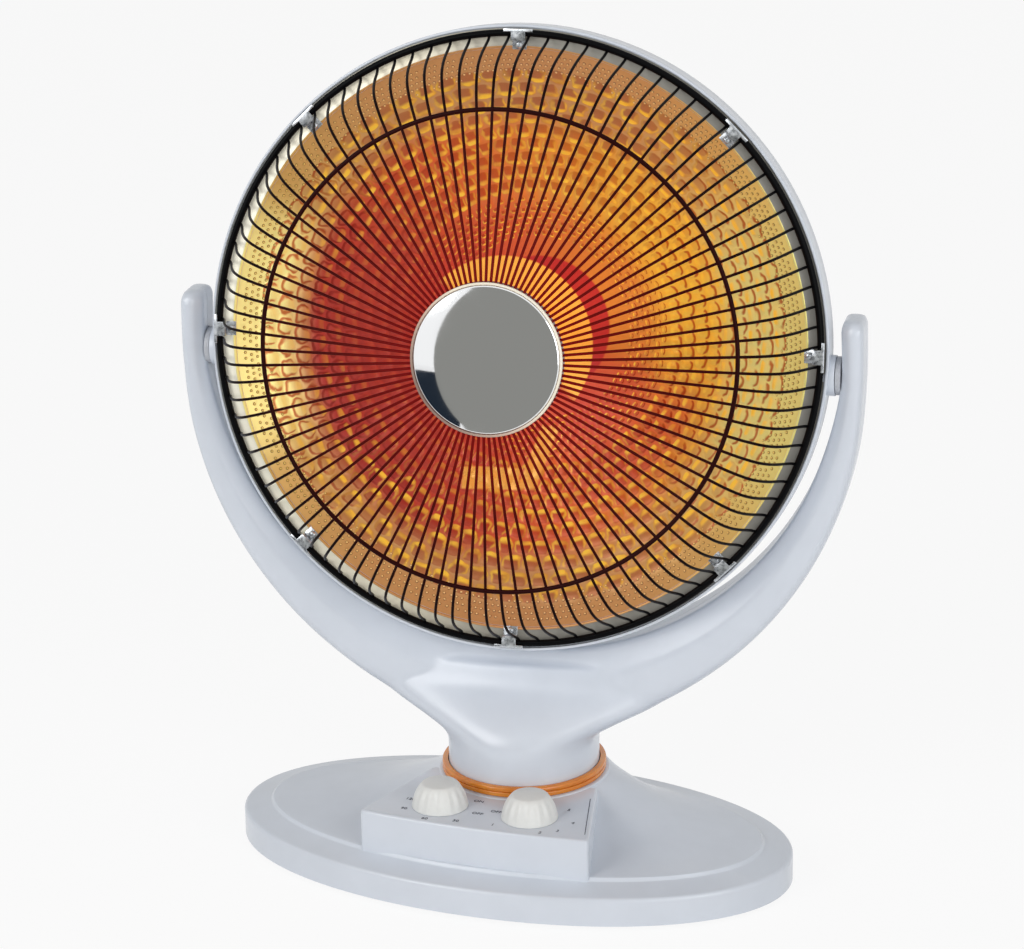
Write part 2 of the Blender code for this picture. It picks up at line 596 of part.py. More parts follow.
def make_base_fittings(parent):
    plate = prism(
        "base_plate",
        [point[:2] for point in oval(COVER_WALL + GAP, 0)],
        PLATE_BOTTOM,
        PLATE_BOTTOM + PLATE_THICKNESS,
        STEEL,
        parent,
    )
    hole_top = PLATE_BOTTOM + 2 * PLATE_THICKNESS
    plunger_hole = rod("plunger_hole", PLUNGER_RADIUS + GAP, 0, hole_top, None, parent, 12)
    plunger_hole.location = (TIP_X, TIP_Y, 0)
    cut(plate, plunger_hole)

    foot_top = PLATE_BOTTOM - GAP
    foot_outline = (
        (0, 0), (FOOT_RADIUS - FOOT_EDGE, 0), (FOOT_RADIUS, FOOT_EDGE),
        (FOOT_RADIUS, foot_top), (0, foot_top),
    )
    places = [(x, y) for x in (-FOOT_X, FOOT_X) for y in (-FOOT_Y, FOOT_Y)]
    names = ("foot_left_front", "foot_left_rear", "foot_right_front", "foot_right_rear")
    for name, (x, y) in zip(names, places):
        foot = turned(name, foot_outline, BLACK_RUBBER, parent, 10)
        foot.location = (x, BASE_CENTRE_Y + y, 0)

    floor = PLATE_BOTTOM + PLATE_THICKNESS + GAP
    switch = block(
        "tip_over_switch",
        (TIP_X - TIP_LENGTH / 2, TIP_Y - TIP_WIDTH / 2, floor),
        (TIP_X + TIP_LENGTH / 2, TIP_Y + TIP_WIDTH / 2, floor + TIP_HEIGHT),
        DARK_PLASTIC,
        parent,
    )
    room_radius = PLUNGER_COLLAR_RADIUS + GAP
    collar_room = rod("collar_room", room_radius, floor - OVERRUN, floor + PLUNGER_ROOM, None, parent, 12)
    collar_room.location = plunger_hole.location
    cut(switch, collar_room)

    back = BASE_CENTRE_Y + BASE_HALF_DEPTH
    gland_outline = (
        (GLAND_BORE_RADIUS, -COVER_WALL - GLAND_INSIDE),
        (GLAND_BODY_RADIUS, -COVER_WALL - GLAND_INSIDE),
        (GLAND_BODY_RADIUS, GAP),
        (GLAND_FLANGE_RADIUS, GAP),
        (GLAND_FLANGE_RADIUS, GLAND_FLANGE),
        (GLAND_BODY_RADIUS, GLAND_FLANGE + GLAND_NOSE),
        (GLAND_BORE_RADIUS, GLAND_FLANGE + GLAND_NOSE),
    )
    gland = turned("cord_gland", gland_outline, DARK_PLASTIC, parent, 12)
    gland.location = (0, back, GLAND_HEIGHT)
    gland.rotation_euler = (-math.pi / 2, 0, 0)


def make_trim_ring(parent):
    inside = NECK_RADIUS + TRIM_CLEARANCE
    low = BOSS_TOP + GAP
    outline = []
    for across, up in TRIM_OUTLINE_SHARES:
        radius = inside + TRIM_WIDTH * across if across >= 0 else inside + TRIM_WIDTH - TRIM_GROOVE
        outline.append((radius, low + TRIM_HEIGHT * up))
    return turned("trim_ring", outline, ORANGE_PLASTIC, parent, NECK_SEGMENTS)


def make_controls(parent):
    """The two switches under the box's top, and the fluted knobs on their shafts."""
    ceiling = BOX_TOP - COVER_WALL - GAP
    shaft_top = BOX_TOP + KNOB_SOCKET - GAP
    half = TIMER_SIDE / 2
    low_corner = (-half, -half, ceiling - TIMER_DEPTH)
    timer = block("timer_switch", low_corner, (half, half, ceiling), DARK_PLASTIC, parent)
    timer.location = (-KNOB_X, -KNOB_AHEAD, 0)
    spindle = rod("timer_spindle", SHAFT_RADIUS, ceiling - OVERRUN, shaft_top, None, parent)
    spindle.location = timer.location
    fuse(timer, spindle)
    mode_outline = (
        (0, ceiling - MODE_DEPTH), (MODE_RADIUS, ceiling - MODE_DEPTH), (MODE_RADIUS, ceiling),
        (SHAFT_RADIUS, ceiling), (SHAFT_RADIUS, shaft_top), (0, shaft_top),
    )
    mode = turned("mode_switch", mode_outline, DARK_PLASTIC, parent, 16)
    mode.location = (KNOB_X, -KNOB_AHEAD, 0)

    for name, side in (("timer_knob", -1), ("mode_knob", 1)):
        axis = add_frame(f"{name}_axis", parent, (side * KNOB_X, -KNOB_AHEAD, BOX_TOP + GAP))
        make_knob(name, axis)


def make_knob(name, parent):
    """A skirt that narrows upwards, fluted up to its shoulder, with a blind socket for the shaft."""
    steps = 2 * KNOB_FLUTES
    slope = KNOB_RADIUS - KNOB_TOP_RADIUS
    rim = KNOB_TOP_RADIUS - KNOB_EDGE
    socket = SHAFT_RADIUS + GAP
    rings = (
        (socket, 0, 0),
        (KNOB_RADIUS, 0, 0.2),
        (KNOB_RADIUS - slope * 0.30, 0.52, 1.0),
        (KNOB_RADIUS - slope * 0.72, 0.84, 0.5),
        (KNOB_TOP_RADIUS, 0.97, 0),
        (rim, 1.0, 0),
    )
    loops = []
    for radius, height_share, flute_share in rings:
        loop = []
        for step in range(steps):
            angle = math.tau * step / steps
            reach = radius - KNOB_FLUTE_DEPTH * flute_share * (step % 2)
            loop.append((reach * math.cos(angle), reach * math.sin(angle), KNOB_HEIGHT * height_share))
        loops.append(loop)
    loops[0] = circle(socket, 0, steps)
    knob = lofted(name, loops, IVORY_PLASTIC, parent)
    socket_cut = rod(f"{name}_socket", socket, -OVERRUN, KNOB_SOCKET, None, parent)
    cut(knob, socket_cut)
    return knob


def make_plunger(parent):
    axis = add_frame("plunger_axis", parent, (TIP_X, TIP_Y, GAP))
    collar = PLUNGER_LENGTH - PLUNGER_COLLAR
    outline = (
        (0, 0), (PLUNGER_RADIUS - PLUNGER_ROUND, 0),
        (PLUNGER_RADIUS, PLUNGER_ROUND), (PLUNGER_RADIUS, collar),
        (PLUNGER_COLLAR_RADIUS, collar), (PLUNGER_COLLAR_RADIUS, PLUNGER_LENGTH), (0, PLUNGER_LENGTH),
    )
    return turned("tip_over_plunger", outline, GREY_NYLON, axis, 12)


def make_swing_drive(base, swivel):
    """A gear motor on the plate turns a disc whose pin slides in the slot of a lever on the swivel tube."""
    floor = PLATE_BOTTOM + PLATE_THICKNESS + GAP
    motor_outline = (
        (0, floor), (MOTOR_RADIUS, floor), (MOTOR_RADIUS, MOTOR_TOP), (MOTOR_NOSE_RADIUS, MOTOR_TOP),
        (MOTOR_NOSE_RADIUS, MOTOR_TOP + MOTOR_NOSE), (SHAFT_RADIUS, MOTOR_TOP + MOTOR_NOSE),
        (SHAFT_RADIUS, DISC_BOTTOM + CRANK_DISC), (0, DISC_BOTTOM + CRANK_DISC),
    )
    motor = turned("swing_motor", motor_outline, STEEL, base, 20)
    motor.location = (-CRANK_DISTANCE, 0, 0)
    ears = block(
        "motor_ears",
        (-MOTOR_EAR_WIDTH / 2, -MOTOR_EAR_REACH, floor + MOTOR_EAR),
        (MOTOR_EAR_WIDTH / 2, MOTOR_EAR_REACH, floor + 2 * MOTOR_EAR),
        None,
        base,
    )
    ears.location = motor.location
    fuse(motor, ears)

    turn = SWING_AT_REST * CRANK_RATIO
    axis = add_frame("crank_axis", base, (-CRANK_DISTANCE, 0, 0), (0, 0, turn))
    disc_top = DISC_BOTTOM + CRANK_DISC
    disc = turned(
        "crank_disc",
        tube_outline(SHAFT_RADIUS + GAP, CRANK_DISC_RADIUS, DISC_BOTTOM, disc_top),
        GREY_NYLON,
        axis,
        20,
    )
    pin_foot = DISC_BOTTOM + CRANK_DISC / 2
    pin = rod("crank_pin", CRANK_PIN_RADIUS, pin_foot, disc_top + CRANK_PIN_HEIGHT, None, axis, 12)
    pin.location = (-CRANK_PIN_THROW, 0, 0)
    fuse(disc, pin)

    lever = turned(
        "swing_lever",
        tube_outline(TUBE_RADIUS + GAP, LEVER_HUB_RADIUS, LEVER_BOTTOM, LEVER_BOTTOM + LEVER_HUB_HEIGHT),
        STEEL,
        swivel,
        20,
    )
    half = LEVER_WIDTH / 2
    arm_start = -(TUBE_RADIUS + LEVER_HUB_RADIUS) / 2
    lever_top = LEVER_BOTTOM + LEVER_THICKNESS
    arm = block("lever_arm", (-LEVER_REACH, -half, LEVER_BOTTOM), (arm_start, half, lever_top), None, swivel)
    slot = block(
        "lever_slot",
        (-LEVER_SLOT_END, -LEVER_SLOT_WIDTH / 2, LEVER_BOTTOM - OVERRUN),
        (-LEVER_SLOT_START, LEVER_SLOT_WIDTH / 2, lever_top + OVERRUN),
        None,
        swivel,
    )
    fuse(lever, arm)
    cut(lever, slot)


def make_swivel(base, swivel):
    low = BOSS_TOP + GAP
    washer_outline = tube_outline(TUBE_RADIUS + 2 * GAP, WASHER_RADIUS, low, low + WASHER_THICKNESS)
    turned("bearing_washer", washer_outline, GREY_NYLON, base, 20)
    flange_radius = (NECK_RADIUS - YOKE_WALL) * math.cos(math.pi / NECK_SEGMENTS) - GAP
    flange_top = FLANGE_BOTTOM + FLANGE_THICKNESS
    outline = (
        (TUBE_BORE, TUBE_BOTTOM), (TUBE_RADIUS, TUBE_BOTTOM), (TUBE_RADIUS, FLANGE_BOTTOM),
        (flange_radius, FLANGE_BOTTOM), (flange_radius, flange_top), (TUBE_RADIUS, flange_top),
        (TUBE_RADIUS, TUBE_TOP), (TUBE_BORE, TUBE_TOP),
    )
    tube = turned("swivel_tube", outline, STEEL, swivel, 20)
    nut_top = BOSS_TOP - COVER_WALL - GAP
    nut_outline = tube_outline(TUBE_RADIUS + GAP, RING_NUT_RADIUS, nut_top - RING_NUT_HEIGHT, nut_top)
    turned("swivel_ring_nut", nut_outline, STEEL, swivel, 20)

    # The yoke's screws go up through the flange, with their heads sunk in it.
    head_top = FLANGE_BOTTOM + GAP + SCREW_HEAD
    screw_outline = (
        (0, FLANGE_BOTTOM + GAP), (SCREW_HEAD_RADIUS, FLANGE_BOTTOM + GAP), (SCREW_HEAD_RADIUS, head_top),
        (SCREW_RADIUS, head_top), (SCREW_RADIUS, head_top + SCREW_LENGTH), (0, head_top + SCREW_LENGTH),
    )
    sink_outline = (
        (0, FLANGE_BOTTOM - OVERRUN), (SCREW_HEAD_RADIUS + GAP, FLANGE_BOTTOM - OVERRUN),
        (SCREW_HEAD_RADIUS + GAP, head_top + GAP), (SCREW_RADIUS + GAP, head_top + GAP),
        (SCREW_RADIUS + GAP, flange_top + OVERRUN), (0, flange_top + OVERRUN),
    )
    for name, side in (("front", -1), ("rear", 1)):
        screw = turned(f"yoke_screw_{name}", screw_outline, ZINC, swivel, 8)
        sink = turned(f"yoke_screw_sink_{name}", sink_outline, None, swivel, 8)
        for piece in (screw, sink):
            piece.location = (0, side * YOKE_SCREW_PLACE, 0)
        cut(tube, sink)


def arm_section(shares, x, z, outward, half_thickness, half_depth):
    """The yoke's section at one station: round outside, with a slanted land on its inner front edge."""
    loop = []
    for out_share, back_share in shares:
        out = half_thickness * out_share
        loop.append((x + out * outward[0], TILT_AXIS_Y + half_depth * back_share, z + out * outward[1]))
    return loop


def crescent_loops(shares, thinner):
    """Sections from the left arm's tip, round under the head, to the right arm's tip, thinner by a wall."""
    right = []
    for step in range(YOKE_STEPS + 1):
        share = 1 - step / YOKE_STEPS  # 1 under the head, 0 beside the tilt axis
        angle = share * math.pi / 2
        inner = YOKE_INNER_TOP + (YOKE_INNER_FOOT - YOKE_INNER_TOP) * share**YOKE_INNER_POWER
        outer = YOKE_OUTER_TOP + (YOKE_OUTER_FOOT - YOKE_OUTER_TOP) * share**YOKE_OUTER_POWER
        depth = YOKE_HALF_DEPTH_TOP + (YOKE_HALF_DEPTH_FOOT - YOKE_HALF_DEPTH_TOP) * share
        middle = (inner + outer) / 2
        outward = (math.cos(angle), -math.sin(angle))
        x = middle * outward[0]
        z = YOKE_CENTRE_Z + middle * outward[1]
        right.append(arm_section(shares, x, z, outward, (outer - inner) / 2 - thinner, depth - thinner))
    middle = (YOKE_INNER_TOP + YOKE_OUTER_TOP) / 2
    half = (YOKE_OUTER_TOP - YOKE_INNER_TOP) / 2 - thinner
    shoulder = YOKE_TOP - TIP_ROUND - thinner
    for rise, shrink in TIP_SHARES:
        z = shoulder + TIP_ROUND * rise
        depth = YOKE_HALF_DEPTH_TOP - thinner
        right.append(arm_section(shares, middle, z, (1, 0), half * shrink, depth * shrink))
    left = [[(-x, y, z) for x, y, z in loop] for loop in reversed(right[1:])]
    return left + right


def neck_loops(foot, thinner):
    """Loops of a round neck up through its shoulder, which gets wider and shallower front to back."""
    loops = [circle(radius, z, NECK_SEGMENTS) for radius, z in foot]
    rise = NECK_SHOULDER_TOP - NECK_STRAIGHT_TOP - thinner
    for height_share, flare_share, shallow_share in NECK_SHOULDER_SHARES:
        half_width = NECK_RADIUS + NECK_FLARE * flare_share - thinner
        half_depth = NECK_RADIUS - NECK_SHOULDER_DEPTH * shallow_share - thinner
        y0 = TILT_AXIS_Y * shallow_share
        z = NECK_STRAIGHT_TOP + rise * height_share
        loops.append([(half_width * x, y0 + half_depth * y, z) for x, y, _ in circle(1, 0, NECK_SEGMENTS)])
    return loops


def make_yoke(parent):
    """Two moulded half shells that meet on a plane through the tilt axis."""
    neck = lofted("neck_form", neck_loops([(NECK_RADIUS, NECK_BOTTOM)], 0), None, parent)
    arm_hollows = crescent_loops(ARM_HOLLOW_SHARES, YOKE_WALL)
    crescent_hollow = lofted("crescent_hollow", arm_hollows, None, parent)
    inside = NECK_RADIUS - YOKE_WALL
    seat = FLANGE_BOTTOM + FLANGE_THICKNESS + GAP
    hollow_foot = [
        (inside, NECK_BOTTOM - OVERRUN), (inside, seat), (NECK_SEAT_RADIUS, seat),
        (NECK_SEAT_RADIUS, seat + NECK_SEAT_HEIGHT), (inside, seat + NECK_SEAT_HEIGHT),
    ]
    neck_hollow = lofted("neck_hollow", neck_loops(hollow_foot, YOKE_WALL), None, parent)
    bores = []
    for side in (-1, 1):
        seat_outline = (
            (0, PIVOT_BOSS_FACE), (PIVOT_WASHER_RADIUS + 2 * GAP, PIVOT_BOSS_FACE),
            (PIVOT_WASHER_RADIUS + 2 * GAP, YOKE_INNER_TOP + PIVOT_SEAT),
            (PIN_RADIUS + GAP, YOKE_INNER_TOP + PIVOT_SEAT), (PIN_RADIUS + GAP, ARM_INNER_WALL + OVERRUN / 4),
            (0, ARM_INNER_WALL + OVERRUN / 4),
        )
        bore = turned("arm_bore", seat_outline, None, parent, 12)
        bore.location = (0, TILT_AXIS_Y, TILT_AXIS_Z)
        bore.rotation_euler = (0, side * math.pi / 2, 0)
        bores.append(bore)
    reach = YOKE_OUTER_FOOT + OVERRUN
    deep = NECK_RADIUS + OVERRUN
    for name, side in (("yoke_front_shell", -1), ("yoke_rear_shell", 1)):
        seam = TILT_AXIS_Y + side * GAP / 2
        far = seam - side * 2 * deep
        low_corner = (-reach, min(seam, far), 0)
        high_corner = (reach, max(seam, far), YOKE_TOP + OVERRUN)
        other_half = block(f"{name}_seam", low_corner, high_corner, None, parent)
        shell = lofted(name, crescent_loops(ARM_SECTION_SHARES, 0), WHITE_PLASTIC, parent)
        fuse(shell, neck)
        cut(shell, crescent_hollow, neck_hollow, *bores, other_half)
        screw_end = seat + SCREW_LENGTH
        screw_cut = rod(f"{name}_screw_hole", SCREW_HOLE_RADIUS, FLANGE_BOTTOM, screw_end, None, parent, 8)
        screw_cut.location = (0, side * YOKE_SCREW_PLACE, 0)
        cut(shell, screw_cut)


def make_pivots(yoke, tilt):
    """Per side: a friction washer between housing and arm, and a shouldered pin through both."""
    nut_face = HOUSING_RADIUS - HOUSING_WALL - PIN_NUT_INSET
    head_face = ARM_INNER_WALL + GAP
    pin_outline = (
        (0, nut_face - PIN_NUT), (PIN_NUT_RADIUS, nut_face - PIN_NUT), (PIN_NUT_RADIUS, nut_face),
        (PIN_RADIUS, nut_face), (PIN_RADIUS, head_face), (PIN_HEAD_RADIUS, head_face),
        (PIN_HEAD_RADIUS, head_face + PIN_HEAD), (0, head_face + PIN_HEAD),
    )
    washer_face = YOKE_INNER_TOP + PIVOT_SEAT - GAP
    boss_face = PIVOT_BOSS_FACE + GAP
    washer_outline = tube_outline(PIN_RADIUS + GAP, PIVOT_WASHER_RADIUS, boss_face, washer_face)
    for name, side in (("left", -1), ("right", 1)):
        washer = turned(f"friction_washer_{name}", washer_outline, GREY_NYLON, yoke, 12)
        washer.location = (0, TILT_AXIS_Y, TILT_AXIS_Z)
        washer.rotation_euler = (0, side * math.pi / 2, 0)
        pin = turned(f"pivot_pin_{name}", pin_outline, STEEL, tilt, 12)
        pin.rotation_euler = (0, side * math.pi / 2, 0)


def spread(name, tool, count, parent, radius=0):
    """Copies of a cutter round the dish axis, joined in one object."""
    shape = bmesh.new()
    for step in range(count):
        earlier = set(shape.verts)
        shape.from_mesh(tool.data)
        copy = [vertex for vertex in shape.verts if vertex not in earlier]
        bmesh.ops.translate(shape, verts=copy, vec=(radius, 0, 0))
        turn = Matrix.Rotation(math.tau * step / count, 3, "Z")
        bmesh.ops.rotate(shape, verts=copy, cent=(0, 0, 0), matrix=turn)
    return add_body(name, shape, None, parent)


def make_housing(dish, tilt, screw_holes):
    """The white rear bowl: a band behind the ring, a ledge for the reflector and vents in the back."""
    wall = HOUSING_WALL
    back = -HOUSING_DEPTH
    bowl = HOUSING_DEPTH - BAND_BACK
    outside = [(HOUSING_RADIUS * out, -BAND_BACK - bowl * deep) for out, deep in BOWL_OUT_SHARES]
    diagonal = wall * math.sqrt(0.5)
    inside = [(radius - diagonal, z + diagonal) for radius, z in outside]
    ledge_back = LEDGE_FRONT - LEDGE_THICKNESS
    outline = [
        (0, back),
        (HOUSING_BACK_RADIUS, back),
        *reversed(outside),
        (HOUSING_RADIUS, -BAND_BACK),
        (HOUSING_RADIUS, -HOUSING_LIP_BACK),
        (LEDGE_RADIUS, -HOUSING_LIP_BACK),
        (LEDGE_RADIUS, ledge_back),
        (HOUSING_RADIUS - wall, ledge_back),
        *inside,
        (HOUSING_BACK_RADIUS, back + wall),
        (0, back + wall),
    ]
    housing = turned("rear_housing", outline, WHITE_PLASTIC, dish)
    boss_root = HOUSING_RADIUS - PIVOT_BOSS_ROOT
    for side in (-1, 1):
        boss = rod("pivot_boss", PIVOT_BOSS_RADIUS, boss_root, PIVOT_BOSS_FACE, None, tilt)
        boss.rotation_euler = (0, side * math.pi / 2, 0)
        fuse(housing, boss)
    seat = rod("reflector_seat", HOUSING_LIP_RADIUS, LEDGE_FRONT, OVERRUN, None, dish, HEAD_SEGMENTS)
    cut(housing, seat)
    for side in (-1, 1):
        bore_end = PIVOT_BOSS_FACE + OVERRUN
        bore = rod("pivot_bore", PIN_RADIUS + GAP, boss_root - 2 * wall, bore_end, None, tilt, 12)
        bore.rotation_euler = (0, side * math.pi / 2, 0)
        cut(housing, bore)
    half = VENT_WIDTH / 2
    vent = block("vent", (VENT_START, -half, back - OVERRUN), (VENT_END, half, back + VENT_DEPTH), None, dish)
    cut(housing, spread("vents", vent, VENT_COUNT, dish))
    cut(housing, screw_holes)
    return housing


def make_reflector(dish, screw_holes):
    """A thin pressed dish on a parabola, with a flat flange that the guard's ring clamps."""
    flange_radius = RING_OUTER_RADIUS + GAP / 2
    back_lip = LIP_RADIUS + REFLECTOR_WALL
    edge = FLANGE_FRONT - DISH_LIP_DROP

    def curve(lip, vertex):
        rim = edge - vertex
        radii = [lip + (DISH_HOLE_RADIUS - lip) * step / DISH_STEPS for step in range(DISH_STEPS + 1)]
        return [(radius, vertex + rim * (radius / lip) ** 2) for radius in radii]

    outline = [(flange_radius, FLANGE_FRONT), (LIP_RADIUS, FLANGE_FRONT)]
    outline += curve(LIP_RADIUS, DISH_VERTEX)
    outline += reversed(curve(back_lip, DISH_VERTEX - REFLECTOR_WALL))
    outline += [(back_lip, FLANGE_FRONT - REFLECTOR_WALL), (flange_radius, FLANGE_FRONT - REFLECTOR_WALL)]
    reflector = turned("reflector", outline, POLISHED_DISH, dish)
    cut(reflector, screw_holes)
    return reflector


def make_guard(dish):
    """The wire guard as one welded net: spokes and a middle ring share their crossings."""
    middle = MID_RING_WIRE_RADIUS
    # Stations along a spoke: radius, distance ahead and radius of the wire there.
    stations = (
        (WIRE_END_RADIUS, WIRE_END_AHEAD, WIRE_RADIUS),
        (MID_RING_RADIUS - middle, MID_RING_AHEAD, middle),
        (MID_RING_RADIUS + middle, MID_RING_AHEAD, middle),
        (WIRE_BEND_RADIUS, WIRE_BEND_AHEAD, WIRE_RADIUS),
        (RING_CENTRE_RADIUS, 0, WIRE_RADIUS),
    )
    crossing = 1  # the middle ring joins the spoke from this station to the next
    shape = bmesh.new()
    spokes = []
    for i in range(WIRE_COUNT):
        angle = math.tau * (i + 0.5) / WIRE_COUNT
        rows = []
        for j, (radius, ahead, size) in enumerate(stations):
            before = stations[max(j - 1, 0)]
            after = stations[min(j + 1, len(stations) - 1)]
            lean = math.atan2(after[1] - before[1], after[0] - before[0])
            row = []
            for corner in WIRE_CORNERS:
                lift = size * math.cos(corner)
                across = WIRE_RADIUS * math.sin(corner)
                reach = radius - lift * math.sin(lean)
                row.append(shape.verts.new((
                    reach * math.cos(angle) - across * math.sin(angle),
                    reach * math.sin(angle) + across * math.cos(angle),
                    ahead + lift * math.cos(lean),
                )))
            rows.append(row)
        spokes.append(rows)
    top, left, right = range(3)
    for i, rows in enumerate(spokes):
        shape.faces.new(rows[0])
        shape.faces.new(rows[-1])
        for j in range(len(stations) - 1):
            sides = [(left, right)] if j == crossing else [(top, left), (left, right), (right, top)]
            for a, b in sides:
                shape.faces.new((rows[j][a], rows[j][b], rows[j + 1][b], rows[j + 1][a]))
        neighbour = spokes[(i + 1) % WIRE_COUNT]
        here = [rows[crossing][left], rows[crossing][top], rows[crossing + 1][top], rows[crossing + 1][left]]
        there = [neighbour[crossing][right], neighbour[crossing][top]]
        there += [neighbour[crossing + 1][top], neighbour[crossing + 1][right]]
        for k in range(4):
            shape.faces.new((here[k - 1], here[k], there[k], there[k - 1]))
    guard = add_body("guard_grille", shape, BLACK_WIRE, dish)
    ring_outline = []
    for side in range(6):
        angle = math.tau * side / 6
        across = RING_WIRE_RADIUS * math.cos(angle)
        ring_outline.append((RING_CENTRE_RADIUS + across, RING_WIRE_RADIUS * math.sin(angle)))
    fuse(guard, turned("guard_ring_form", ring_outline, None, dish))
    return guard


def make_centre_cap(dish):
    """The domed cap and its back plate, which hold the wires' inner ends between them."""
    wire_top = WIRE_END_AHEAD + WIRE_RADIUS + GAP
    edge_top = wire_top + CAP_EDGE
    stud_foot = wire_top - CAP_STUD_LENGTH
    outline = [(0, stud_foot), (CAP_STUD_RADIUS, stud_foot), (CAP_STUD_RADIUS, wire_top)]
    outline += [(CAP_RADIUS, wire_top), (CAP_RADIUS, edge_top)]
    for share in CAP_DOME_SHARES:
        outline.append((CAP_RADIUS * share, edge_top + CAP_DOME * (1 - share**2)))
    outline.append((0, edge_top + CAP_DOME))
    turned("centre_cap", outline, CHROME, dish, 28)
    climb = (WIRE_END_AHEAD - MID_RING_AHEAD) / (MID_RING_RADIUS - WIRE_END_RADIUS)
    plate_top = WIRE_END_AHEAD - climb * (CAP_PLATE_RADIUS - WIRE_END_RADIUS) - WIRE_RADIUS - 2 * GAP
    plate_outline = tube_outline(CAP_STUD_RADIUS + GAP, CAP_PLATE_RADIUS, plate_top - CAP_PLATE, plate_top)
    turned("cap_back_plate", plate_outline, IVORY_PLASTIC, dish, 28)
    nut_top = plate_top - CAP_PLATE - GAP
    nut_outline = tube_outline(CAP_STUD_RADIUS + GAP, CAP_NUT_RADIUS, nut_top - CAP_NUT, nut_top)
    turned("cap_nut", nut_outline, ZINC, dish, 12)


def make_clips(dish):
    """Bent zinc straps that hook over the ring, each held down on the reflector's flange by a screw."""
    sheet = CLIP_SHEET
    foot = FLANGE_FRONT + GAP
    top = RING_HALF_HEIGHT + GAP
    outer = RING_OUTER_RADIUS
    riser = (RING_OUTER_RADIUS - 2 * RING_WIRE_RADIUS) * math.cos(math.pi / HEAD_SEGMENTS) - GAP
    middle = (CLIP_BAR_START + outer) / 2
    strap = (
        (CLIP_FOOT_START, foot), (riser, foot), (riser, top), (middle, top), (middle, top + sheet),
        (riser - sheet, top + sheet), (riser - sheet, foot + sheet), (CLIP_FOOT_START, foot + sheet),
    )
    sides = [[(radius, y, z) for radius, z in strap] for y in (-CLIP_WIDTH / 2, CLIP_WIDTH / 2)]
    head_foot = foot + sheet + GAP
    head_top = head_foot + SCREW_HEAD
    screw_outline = (
        (0, head_foot - SCREW_LENGTH), (SCREW_RADIUS, head_foot - SCREW_LENGTH), (SCREW_RADIUS, head_foot),
        (SCREW_HEAD_RADIUS, head_foot), (SCREW_HEAD_RADIUS * SCREW_HEAD_TOP_SHARE, head_top), (0, head_top),
    )
    for i in range(CLIP_COUNT):
        frame = add_frame(f"clip_place_{i + 1}", dish, rotation=(0, 0, math.tau * i / CLIP_COUNT))
        clip = lofted(f"guard_clip_{i + 1}", sides, ZINC, frame)
        half = CLIP_BAR_WIDTH / 2
        bar_corner = (CLIP_BAR_START, -half, top)
        bar = block(f"clip_bar_{i + 1}", bar_corner, (outer, half, top + sheet), None, frame)
        fuse(clip, bar)
        hole = rod("clip_hole", SCREW_HOLE_RADIUS, foot - OVERRUN, head_foot, None, frame, SCREW_SEGMENTS)
        hole.location = (CLIP_SCREW_RADIUS, 0, 0)
        cut(clip, hole)
        screw = turned(f"clip_screw_{i + 1}", screw_outline, ZINC, frame, SCREW_SEGMENTS)
        screw.location = (CLIP_SCREW_RADIUS, 0, 0)


def make_element(dish):
    """The heater on the dish axis: bracket and socket behind the reflector, bobbin and coil before."""
    bracket_top = DISH_VERTEX - REFLECTOR_WALL - GAP
    inside = HOUSING_INSIDE + GAP
    sheet = BRACKET_SHEET
    bore = SOCKET_RADIUS + GAP
    bracket_outline = (
        (BRACKET_RADIUS, inside), (BRACKET_FOOT_RADIUS, inside), (BRACKET_FOOT_RADIUS, inside + sheet),
        (BRACKET_RADIUS + sheet, inside + sheet), (BRACKET_RADIUS + sheet, bracket_top), (bore, bracket_top),
        (bore, bracket_top - sheet), (BRACKET_RADIUS, bracket_top - sheet),
    )
    turned("socket_bracket", bracket_outline, STEEL, dish, SOCKET_SEGMENTS)
    dish_rise = DISH_DEPTH * (SOCKET_FLANGE_RADIUS / LIP_RADIUS) ** 2
    flange = DISH_VERTEX + dish_rise + GAP
    socket_outline = (
        (0, -SOCKET_BACK), (SOCKET_RADIUS, -SOCKET_BACK),
        (SOCKET_RADIUS, flange), (SOCKET_FLANGE_RADIUS, flange),
        (SOCKET_FLANGE_RADIUS, flange + SOCKET_FLANGE), (SOCKET_RADIUS, flange + SOCKET_FLANGE),
        (SOCKET_RADIUS, SOCKET_FRONT), (0, SOCKET_FRONT),
    )
    turned("element_socket", socket_outline, CERAMIC, dish, SOCKET_SEGMENTS)
    low = SOCKET_FRONT + GAP
    top = BOBBIN_TOP
    foot_rim = BOBBIN_FOOT_RADIUS + BOBBIN_RIM_REACH
    top_rim = BOBBIN_TOP_RADIUS + BOBBIN_RIM_REACH
    cone_low = low + BOBBIN_RIM
    cone_high = top - BOBBIN_RIM
    bobbin_outline = (
        (0, low), (foot_rim, low), (foot_rim, cone_low), (BOBBIN_FOOT_RADIUS, cone_low),
        (BOBBIN_TOP_RADIUS, cone_high), (top_rim, cone_high), (top_rim, top), (0, top),
    )
    turned("element_bobbin", bobbin_outline, CERAMIC, dish, 16)
    make_coil(dish, cone_low, cone_high)
    cutout = rod("thermal_cutout", CUTOUT_RADIUS, inside, inside + CUTOUT_HEIGHT, DARK_PLASTIC, dish)
    cutout.location = (CUTOUT_AWAY * math.cos(CUTOUT_TURN), CUTOUT_AWAY * math.sin(CUTOUT_TURN), 0)


